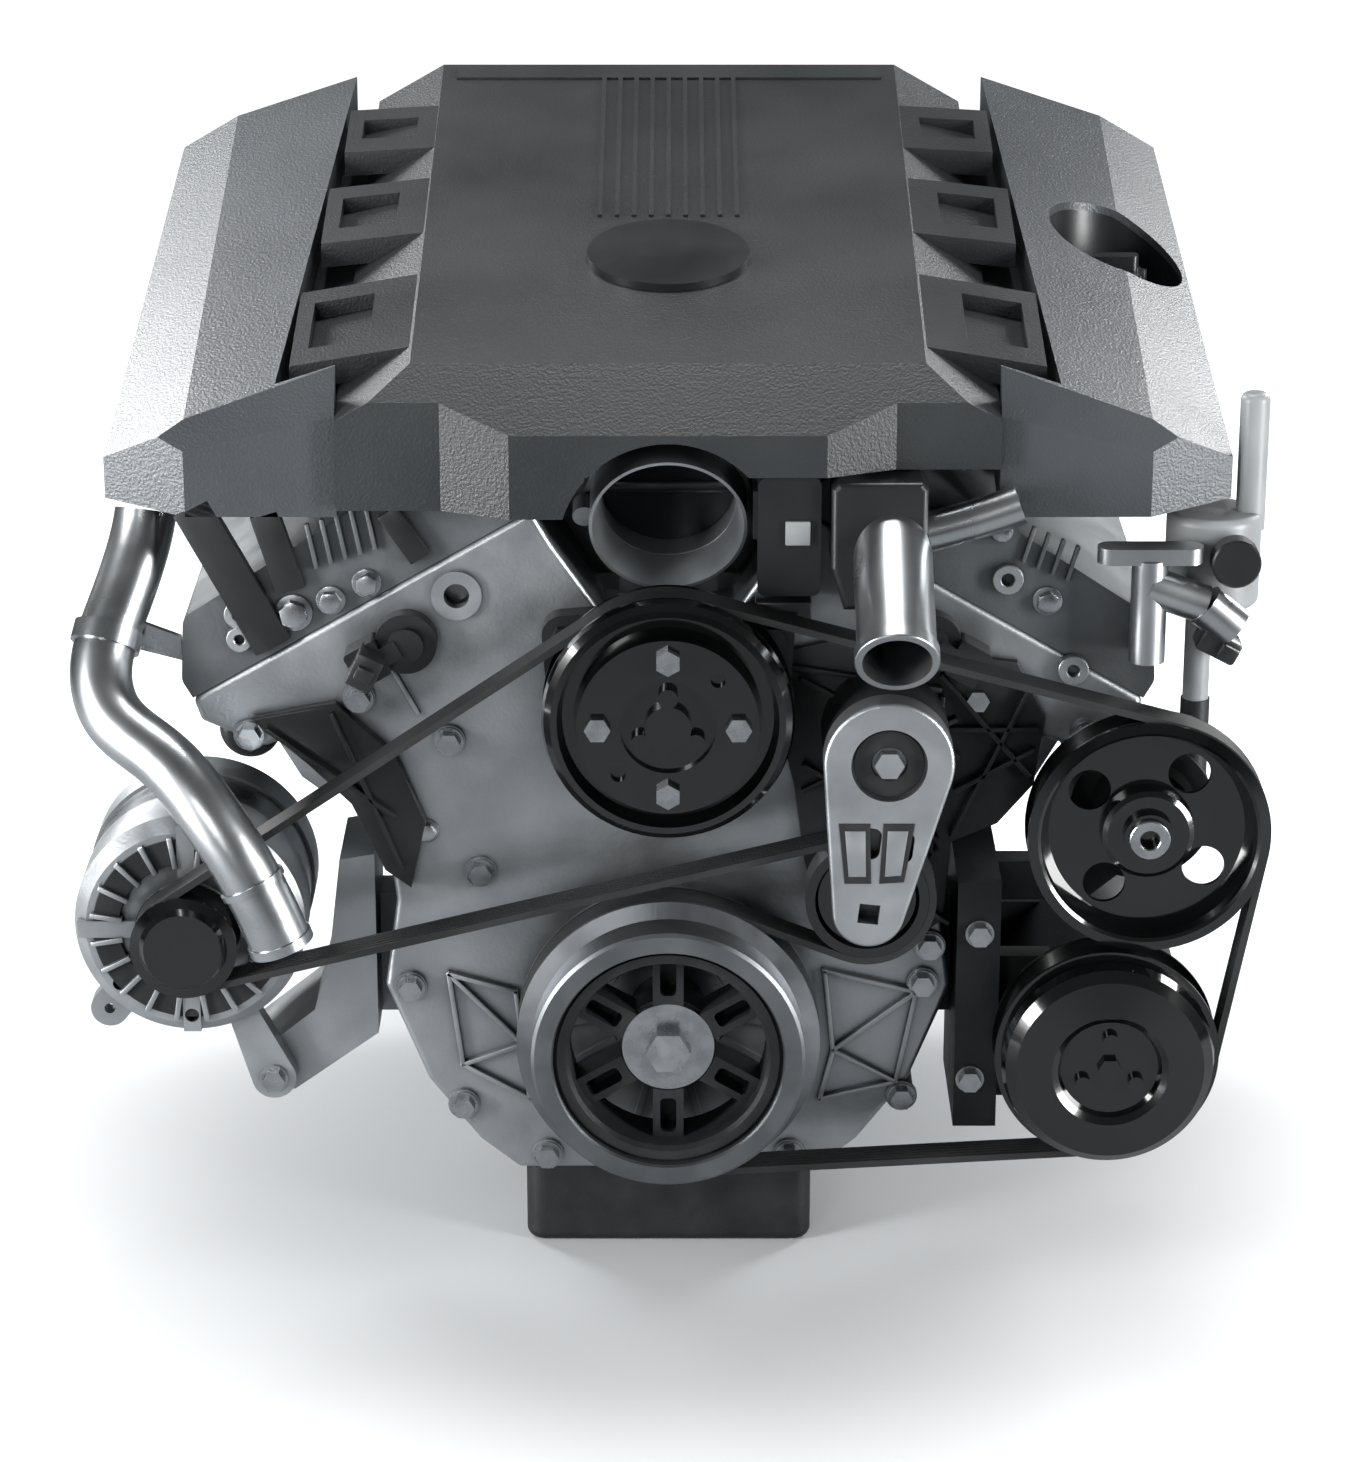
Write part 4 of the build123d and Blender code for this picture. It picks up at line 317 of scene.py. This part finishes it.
def drum(mesh, radius, length, place, sides, edge):
    """A capped cylinder or prism that runs forward from its place, with its front rim softened."""
    made = bmesh.ops.create_cone(
        mesh, cap_ends=True, segments=sides, radius1=radius, radius2=radius, depth=length,
        matrix=place @ Matrix.Translation((0.0, 0.0, length / 2)),
    )["verts"]
    front = place @ Vector((0.0, 0.0, length))
    axis = axis_of(place).normalized()
    rim = [
        e for e in {e for v in made for e in v.link_edges}
        if all(abs((v.co - front).dot(axis)) < 1e-4 for v in e.verts)
    ]
    soften(mesh, rim, edge)


def block_shape(mesh, size, place, edge):
    """A cuboid centred on its place, with softened edges."""
    made = bmesh.ops.create_cube(mesh, size=1.0, matrix=place @ Matrix.Diagonal((*size, 1.0)))["verts"]
    soften(mesh, list({e for v in made for e in v.link_edges}), edge)


def block_piece(name, blocks, look, turn=0.0):
    """A piece of softened cuboids, each given as its size, its centre and the width of its edges."""
    mesh = bmesh.new()
    slant = Matrix.Rotation(math.radians(turn), 4, "Y")
    for size, centre, edge in blocks:
        block_shape(mesh, size, Matrix.Translation(centre) @ slant, edge)
    finish_piece(name, mesh, look)


def ring(mesh, outer, inner, depth, place, sides=48):
    """A flat ring that stands forward from its place: an outline spun once round its axis."""
    corner = 0.6
    outline = [
        mesh.verts.new(place @ Vector(point))
        for point in (
            (inner, 0, 0), (outer, 0, 0), (outer, 0, depth - corner), (outer - corner, 0, depth),
            (inner + corner, 0, depth), (inner, 0, depth - corner),
        )
    ]
    edges = [mesh.edges.new((outline[k], outline[(k + 1) % len(outline)])) for k in range(len(outline))]
    bmesh.ops.spin(
        mesh, geom=outline + edges, cent=place.translation, axis=axis_of(place), angle=2 * math.pi,
        steps=sides, use_merge=True,
    )


def rib(mesh, start, end, depth, width, height):
    """A straight raised rib between two (x, z) points, on a surface whose depth is y."""
    back = 1.5
    run = Vector((end[0] - start[0], 0.0, end[1] - start[1]))
    x, z = middle_of(start, end)
    middle = Matrix.Translation((x, depth - (height - back) / 2, z))
    turn = Matrix.Rotation(-math.atan2(run.z, run.x), 4, "Y")
    block_shape(mesh, (run.length + width, height + back, width), middle @ turn, 0.7)


def rib_on(mesh, carrier, start, end, width, height):
    """A rib at the depth that a CAD node has behind the rib's middle."""
    rib(mesh, start, end, seat(carrier, *middle_of(start, end)), width, height)


def plate(mesh, outline, depth, thickness, back=1.0, edge=1.2):
    """A flat plate from an (x, z) outline, standing forward of a surface whose depth is y."""
    face = mesh.faces.new([mesh.verts.new((x, depth + back, z)) for x, z in outline])
    grown = bmesh.ops.extrude_face_region(mesh, geom=[face])["geom"]
    raised = [v for v in grown if isinstance(v, bmesh.types.BMVert)]
    bmesh.ops.translate(mesh, verts=raised, vec=(0.0, -(thickness + back), 0.0))
    front_edges = [
        e for e in {e for v in raised for e in v.link_edges} if all(v in raised for v in e.verts)
    ]
    soften(mesh, front_edges, edge)


def bank_bolt_place(node, across, y, side):
    """The place of a bolt that stands up a bank, where a line down the bank first meets a CAD node."""
    lean = bank_lean * side
    up = Vector((math.sin(lean), 0.0, math.cos(lean)))
    out = Vector((math.cos(lean), 0.0, -math.sin(lean))) * side
    above = 600.0
    start = (up * above + out * across + Vector((0.0, y, 0.0))) / 1000.0
    hit = skin(node).ray_cast(start, -up)[0]
    if hit is None:
        raise ValueError(f"nothing of {node} lies under across {across}, y {y}")
    return Matrix.Translation(hit * 1000.0) @ Matrix.Rotation(lean, 4, "Y")


# Hex bolts with a flange, where the castings meet: node that carries it, x, z, radius of the hexagon
hex_bolts = [
    ("left_cam_cover", -228.7, 262.0, 9.0),
    ("left_cam_cover", -205.9, 270.0, 7.0),
    ("left_cam_cover", -183.7, 281.0, 7.0),
    ("right_cam_cover", 231.5, 269.7, 7.0),
    ("right_cam_cover", 202.9, 313.7, 5.0),
    ("front_cover", -150.0, 120.0, 6.0),
    ("front_cover", -175.0, 160.0, 6.0),
]
bolt_heads = bmesh.new()
for carrier, x, z, radius in hex_bolts:
    face = seat(carrier, x, z)
    drum(bolt_heads, radius * 1.3, 2.2, facing(x, face + sunk, z), 32, 0.5)
    drum(bolt_heads, radius, 6.5, facing(x, face - 1.0, z, turn=x), 6, 0.8)
finish_piece("casting_bolts", bolt_heads, zinc_plate)

# Threaded bosses that show their hole: carrier, x, z, outer and inner radius
open_bosses = [
    ("left_cam_cover", -262.0, 262.0, 9.0, 3.6),
    ("right_cam_cover", 206.7, 284.4, 9.5, 4.0),
    ("front_cover", 248.1, 226.5, 9.5, 3.8),
    ("left_cam_cover", -262.0, 246.0, 8.0, 3.2),
]
boss_height = 6.5
boss_rings = bmesh.new()
for carrier, x, z, outer, inner in open_bosses:
    ring(boss_rings, outer, inner, boss_height, facing(x, seat(carrier, x, z) + sunk, z))
finish_piece("threaded_bosses", boss_rings, die_cast_aluminium)

# Flat black bands down to the left cam cover, partly wiring conduits and partly painted shade in the dark
# hollow between head and cover: upper end, lower end, width
conduit_runs = [
    ((-283.0, 320.0), (-247.0, 252.0), 24.0),
    ((-242.0, 318.0), (-232.0, 286.0), 18.0),
    ((-166.0, 322.0), (-154.0, 304.0), 14.0),
]
conduit_thickness = 7.0
conduits_and_painted_shade = bmesh.new()
for start, end, width in conduit_runs:
    rib(conduits_and_painted_shade, start, end, seat("left_cam_cover", *end), width, conduit_thickness)
finish_piece("wiring_conduits_and_painted_shade", conduits_and_painted_shade, smooth_black_nylon)

# Fins cast on the front of both cam covers: carrier, how many, first foot, step, and reach of each fin
fin_rows = [
    ("left_cam_cover", 5, (-214.0, 292.0), (9.0, 3.0), (-5.0, 26.0)),
    ("right_cam_cover", 4, (216.0, 296.0), (9.0, -4.0), (6.0, 20.0)),
]
fins = bmesh.new()
for carrier, count, first, step, reach in fin_rows:
    for k in range(count):
        x, z = first[0] + step[0] * k, first[1] + step[1] * k
        rib(fins, (x, z), (x + reach[0], z + reach[1]), seat(carrier, x, z), 2.6, 4.0)
finish_piece("cam_cover_fins", fins, coated_magnesium)

# Radial ribs of the alternator's front, with a dark ring between them: painted shade for the open air
# slots, whose inside lies in shadow
alternator_x, alternator_z = -298.0, 63.0
slot_inner, slot_outer = 43.0, 60.0
alternator_rib_count = 20


def round_alternator(radius, turn):
    """The (x, z) point at a radius and an angle about the alternator's shaft."""
    return (alternator_x + radius * math.cos(turn), alternator_z + radius * math.sin(turn))


alternator_ribs = bmesh.new()
for k in range(alternator_rib_count):
    turn = math.radians(360.0 / alternator_rib_count * (k + 0.5))
    inner_end, outer_end = round_alternator(slot_inner, turn), round_alternator(slot_outer, turn)
    rib_on(alternator_ribs, "alternator_front_housing", inner_end, outer_end, 3.4, 4.0)
finish_piece("alternator_ribs", alternator_ribs, die_cast_aluminium)
slot_painted_shade = bmesh.new()
slot_face = seat("alternator_front_housing", *round_alternator((slot_inner + slot_outer) / 2, 0.3))
slot_place = facing(alternator_x, slot_face + 0.5, alternator_z)
ring(slot_painted_shade, slot_outer, slot_inner, 1.2, slot_place, 96)
finish_piece("alternator_slot_painted_shade", slot_painted_shade, painted_iron)

# Cast stiffening ribs of the timing cover, low on each side of the crank: triangles of straight ribs
right_web = [(98, 26), (156, 12), (104, -28), (144, -50), (96, -62)]
left_web = [(-96, 12), (-138, 24), (-92, -24), (-130, -38), (-88, -62)]
web_ribs = bmesh.new()
for web in (right_web, left_web):
    for k in range(len(web) - 1):
        for other in (k + 1, k + 2):
            if other < len(web):
                rib_on(web_ribs, "front_cover", web[k], web[other], 3.2, 4.5)
# One more, lower, on the cover's upper left
rib_on(web_ribs, "front_cover", (-176.0, 240.0), (-154.0, 198.0), 3.0, 2.5)
finish_piece("timing_cover_ribs", web_ribs, die_cast_aluminium)

# Dark connector beside the reservoir, and the plug on the left bank's cam solenoid: both lie slanted
slant_degrees = 28.0
connector_blocks = [
    ((26.0, 22.0, 15.0), (334.0, -466.0, 249.0), 2.0),
    ((12.0, 26.0, 10.0), (339.0, -468.0, 245.5), 1.5),
]
block_piece("air_valve_connector", connector_blocks, smooth_black_nylon, slant_degrees)
plug_blocks = [
    ((17.0, 24.0, 22.0), (-184.0, -474.0, 235.0), 1.8),
    ((11.0, 28.0, 9.0), (-184.0, -476.0, 235.0), 1.2),
]
block_piece("cam_solenoid_plug", plug_blocks, smooth_black_nylon, slant_degrees)

# White locating tab on the throttle's actuator
tab_face = seat("throttle_actuator", 78.2, 320.9)
tab_blocks = [((15.0, 3.0, 15.0), (78.0, tab_face - 1.0, 321.0), 0.8)]
block_piece("actuator_tab", tab_blocks, natural_nylon)

# Dark box below the actuator, with a ridge across its front
relay_x, relay_z = 70.0, 268.0
relay_face = seat("front_cover", 80.0, 262.5)
relay_blocks = [
    ((34.0, 22.0, 16.0), (relay_x, relay_face - 10.0, relay_z), 1.5),
    ((18.0, 4.0, 3.0), (relay_x, relay_face - 21.5, relay_z), 0.6),
]
block_piece("actuator_relay", relay_blocks, smooth_black_nylon)

# Bright nut on the steering pump's shaft, as deep as the pulley's face 14 mm above the shaft
steering_x, steering_z = 293.0, 136.0
shaft_nut = bmesh.new()
nut_face = seat("steering_pulley", steering_x, steering_z + 14.0)
ring(shaft_nut, 12.5, 6.0, 4.0, facing(steering_x, nut_face + 0.5, steering_z))
finish_piece("steering_shaft_nut", shaft_nut, zinc_plate, "steering")

# Bolt in the middle of the compressor's clutch plate, as deep as the plate's face 12 mm above it
clutch_x, clutch_z = 272.0, -9.0
clutch_bolt = bmesh.new()
clutch_face = seat("clutch_plate", clutch_x, clutch_z + 12.0)
drum(clutch_bolt, 5.0, 4.0, facing(clutch_x, clutch_face + sunk, clutch_z), 6, 0.6)
finish_piece("clutch_centre_bolt", clutch_bolt, zinc_plate, "compressor_clutch")

# Dark ribbed bracket that carries the tensioner and reaches across to the steering pump
bracket_outline = [
    (58, 236), (100, 246), (150, 240), (214, 232), (232, 196), (226, 152), (204, 126), (176, 114),
    (172, 62), (150, 44), (118, 52), (96, 60), (84, 104), (78, 150),
]
bracket_ribs = [
    ((176, 120), (222, 218)), ((222, 160), (168, 224)), ((170, 190), (226, 190)), ((178, 150), (224, 176)),
    ((66, 232), (166, 216)), ((84, 150), (176, 196)), ((92, 100), (170, 150)), ((100, 64), (166, 110)),
    ((174, 62), (96, 110)), ((166, 118), (84, 166)), ((178, 172), (82, 222)), ((160, 60), (168, 210)),
]
# Dark moulded guard behind the pump's left side and the alternator
guard_outline = [
    (-256, 196), (-204, 206), (-168, 172), (-150, 128), (-160, 84), (-176, 96), (-196, 140), (-222, 166),
]
guard_ribs = [((-246, 190), (-170, 134)), ((-206, 200), (-166, 100))]
# Both are ribbed plates on the timing cover: name, where they are seated, shape, width and height of ribs
ribbed_plates = [
    (
        "tensioner_bracket", (100.0, 200.0), bracket_outline, bracket_ribs, 3.2, 6.0, painted_iron,
        "dark_casting",
    ),
    (
        "belt_guard", (-190.0, 200.0), guard_outline, guard_ribs, 3.0, 5.0, smooth_black_nylon,
        "black_plastic",
    ),
]
plate_thickness = 5.0
for name, seated_at, outline, ribs, rib_width, rib_height, look, slot in ribbed_plates:
    ribbed = bmesh.new()
    plate_face = seat("front_cover", *seated_at)
    plate(ribbed, outline, plate_face, plate_thickness)
    for start, end in ribs:
        rib(ribbed, start, end, plate_face - plate_thickness, rib_width, rib_height)
    finish_piece(name, ribbed, look)

# Dark well that closes the gap between the right wing's opening and the cam cover under it
opening_x, opening_y = 291.0, -203.0
well_radii = (44.4, 46.4)
well_foot = 386.0
well_sides = 64
well = bmesh.new()
columns = []
for k in range(well_sides):
    turn = 2 * math.pi * k / well_sides
    column = []
    for radius in well_radii:
        x, y = opening_x + radius * math.cos(turn), opening_y + radius * math.sin(turn)
        above = Vector((x / 1000, y / 1000, 1.0))
        hit = skin("right_cover_wing").ray_cast(above, Vector((0.0, 0.0, -1.0)))[0]
        if hit is None:
            raise ValueError(f"no wing over x {x}, y {y}")
        column += [well.verts.new((x, y, hit.z * 1000 - 1.2)), well.verts.new((x, y, well_foot))]
    columns.append(column)
for k in range(well_sides):
    a, b = columns[k], columns[(k + 1) % well_sides]
    for i, j in ((0, 1), (1, 3), (3, 2), (2, 0)):
        well.faces.new((a[i], a[j], b[j], b[i]))
finish_piece("filler_well", well, smooth_black_nylon)

# Bolts down both edges of each cam cover
bolt_rows = (-44.0, 143.0)
first_bolt_y, bolt_spacing, bolts_in_row = -420.0, 72.0, 6
cover_bolts = bmesh.new()
for side, node in ((-1, "left_cam_cover"), (1, "right_cam_cover")):
    for across in bolt_rows:
        for k in range(bolts_in_row):
            place = bank_bolt_place(node, across, first_bolt_y + bolt_spacing * k, side)
            drum(cover_bolts, 7.4, 2.0, place @ Matrix.Translation((0.0, 0.0, -sunk)), 24, 0.4)
            drum(cover_bolts, 5.4, 6.5, place @ Matrix.Translation((0.0, 0.0, -1.0)), 6, 0.6)
finish_piece("cam_cover_bolts", cover_bolts, zinc_plate)

# Core plugs in the rear of both heads, at a height up the bank and two distances across it
plug_height, plug_rear = 276.0, -28.6
plugs = bmesh.new()
for side in (-1, 1):
    for across in (0.0, 66.0):
        x = side * (math.sin(bank_lean) * plug_height + math.cos(bank_lean) * across)
        z = math.cos(bank_lean) * plug_height - math.sin(bank_lean) * across
        rear = Matrix.Translation((x, plug_rear, z)) @ Matrix.Rotation(math.radians(-90.0), 4, "X")
        drum(plugs, 17.0, 2.4, rear, 48, 0.8)
        drum(plugs, 13.0, 1.2, rear @ Matrix.Translation((0.0, 0.0, 2.2)), 48, 0.5)
finish_piece("core_plugs", plugs, zinc_plate)

# Pockets in the tensioner's arm, drawn as flat plates on the arm's front face: a dark outline that is
# painted shade for each pocket's walls, round a paler floor
arm_face = -524.0
pockets = [
    [(103.0, 153.0), (122.0, 153.0), (123.0, 114.0), (107.0, 114.0)],
    [(130.0, 153.0), (149.0, 153.0), (143.0, 115.0), (128.0, 114.0)],
]
floor_width, floor_height = 0.66, 0.76
pocket_wall_shade = bmesh.new()
floors = bmesh.new()
for pocket in pockets:
    pocket_x = sum(x for x, _ in pocket) / 4
    pocket_z = sum(z for _, z in pocket) / 4
    plate(pocket_wall_shade, pocket, arm_face, 0.5, 0.4, 0.3)
    inner = [
        (pocket_x + (x - pocket_x) * floor_width, pocket_z + (z - pocket_z) * floor_height)
        for x, z in pocket
    ]
    plate(floors, inner, arm_face, 0.9, 0.4, 0.3)
finish_piece("arm_pocket_wall_shade", pocket_wall_shade, painted_iron, "tensioner")
finish_piece("arm_pocket_floors", floors, die_cast_aluminium, "tensioner")

# Dark ring round the tensioner's pivot, painted shade for the hollow there, as deep as the arm's face 15
# mm beside the pivot
pivot_x, pivot_z = 133.0, 190.0
pivot_hollow_shade = bmesh.new()
pivot_hollow_face = seat("tensioner_arm", pivot_x + 15.0, pivot_z)
ring(pivot_hollow_shade, 21.5, 10.5, 3.0, facing(pivot_x, pivot_hollow_face + sunk, pivot_z))
finish_piece("tensioner_pivot_hollow_shade", pivot_hollow_shade, painted_iron, "tensioner")


# Floor: plain and pale, level with the sump's base
floor_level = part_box("sump")[0][2]
floor_mesh = bmesh.new()
bmesh.ops.create_grid(
    floor_mesh, x_segments=1, y_segments=1, size=14.0, matrix=Matrix.Translation((0.0, 3.0, floor_level))
)
floor_data = bpy.data.meshes.new("floor")
floor_mesh.to_mesh(floor_data)
floor_mesh.free()
floor = bpy.data.objects.new("floor", floor_data)
bpy.context.scene.collection.objects.link(floor)

# Painted studio floor. Only the lens sees it lifted, towards white away from the engine; the lift fades
# out near the engine, a painted shadow that keeps the floor round it dark along with its cast shadow.
# Other rays see a dimmer paint, so the black mouldings reflect a dark studio.
studio_floor = bpy.data.materials.new("studio_floor")
studio_floor.use_nodes = True
tree = studio_floor.node_tree
tree.nodes.clear()
paint = add_node(tree, "ShaderNodeBsdfDiffuse", {"Color": linear("b4b6b8")})
dim_paint = add_node(tree, "ShaderNodeBsdfDiffuse", {"Color": linear("8a8c8e")})
spot = add_node(tree, "ShaderNodeTexCoord")
reach = add_node(
    tree,
    "ShaderNodeVectorMath",
    {0: spot.outputs["Object"], 1: (0.0, -0.28, floor_level)},
    operation="DISTANCE",
)
painted_lift_by_distance = add_node(
    tree,
    "ShaderNodeMapRange",
    {"Value": reach.outputs["Value"], "From Min": 0.15, "From Max": 0.85, "To Min": 0.0, "To Max": 1.0},
    interpolation_type="SMOOTHSTEP",
)
lift = add_node(
    tree, "ShaderNodeEmission", {"Color": linear("ffffff"), "Strength": painted_lift_by_distance.outputs["Result"]}
)
both = add_node(tree, "ShaderNodeAddShader", {0: paint.outputs[0], 1: lift.outputs[0]})
ray = add_node(tree, "ShaderNodeLightPath")
chosen = add_node(
    tree,
    "ShaderNodeMixShader",
    {0: ray.outputs["Is Camera Ray"], 1: dim_paint.outputs[0], 2: both.outputs[0]},
)
add_node(tree, "ShaderNodeOutputMaterial", {"Surface": chosen.outputs[0]})
floor.data.materials.append(studio_floor)

# Studio: a dim surround, tall softboxes beside and behind the engine, and weak ones above and ahead
world = bpy.data.worlds.new("studio")
world.use_nodes = True
world.node_tree.nodes["Background"].inputs["Color"].default_value = linear("f4f6f8")
world.node_tree.nodes["Background"].inputs["Strength"].default_value = 0.1
bpy.context.scene.world = world

softboxes = [
    # name, place, power in watts, width and height in metres
    ("left_softbox", (-1.9, -1.4, 0.45), 84.0, 0.5, 1.3),
    ("right_softbox", (1.9, -1.4, 0.45), 72.0, 0.5, 1.3),
    ("left_rear_softbox", (-1.35, 0.9, 1.1), 34.0, 0.5, 1.0),
    ("right_rear_softbox", (1.35, 0.9, 1.1), 28.0, 0.5, 1.0),
    ("overhead_softbox", (0.0, 0.1, 2.2), 30.0, 1.0, 0.5),
    ("front_softbox", (-0.9, -3.0, 1.0), 12.0, 0.6, 0.6),
]
aim = Vector((0.0, -0.3, 0.15))
for name, place, power, width, height in softboxes:
    lamp = bpy.data.lights.new(name, "AREA")
    lamp.shape = "RECTANGLE"
    lamp.size = width
    lamp.size_y = height
    lamp.energy = power
    holder = bpy.data.objects.new(name, lamp)
    holder.location = place
    holder.rotation_euler = (aim - Vector(place)).to_track_quat("-Z", "Y").to_euler()
    bpy.context.scene.collection.objects.link(holder)

bpy.context.scene.view_settings.view_transform = "Standard"
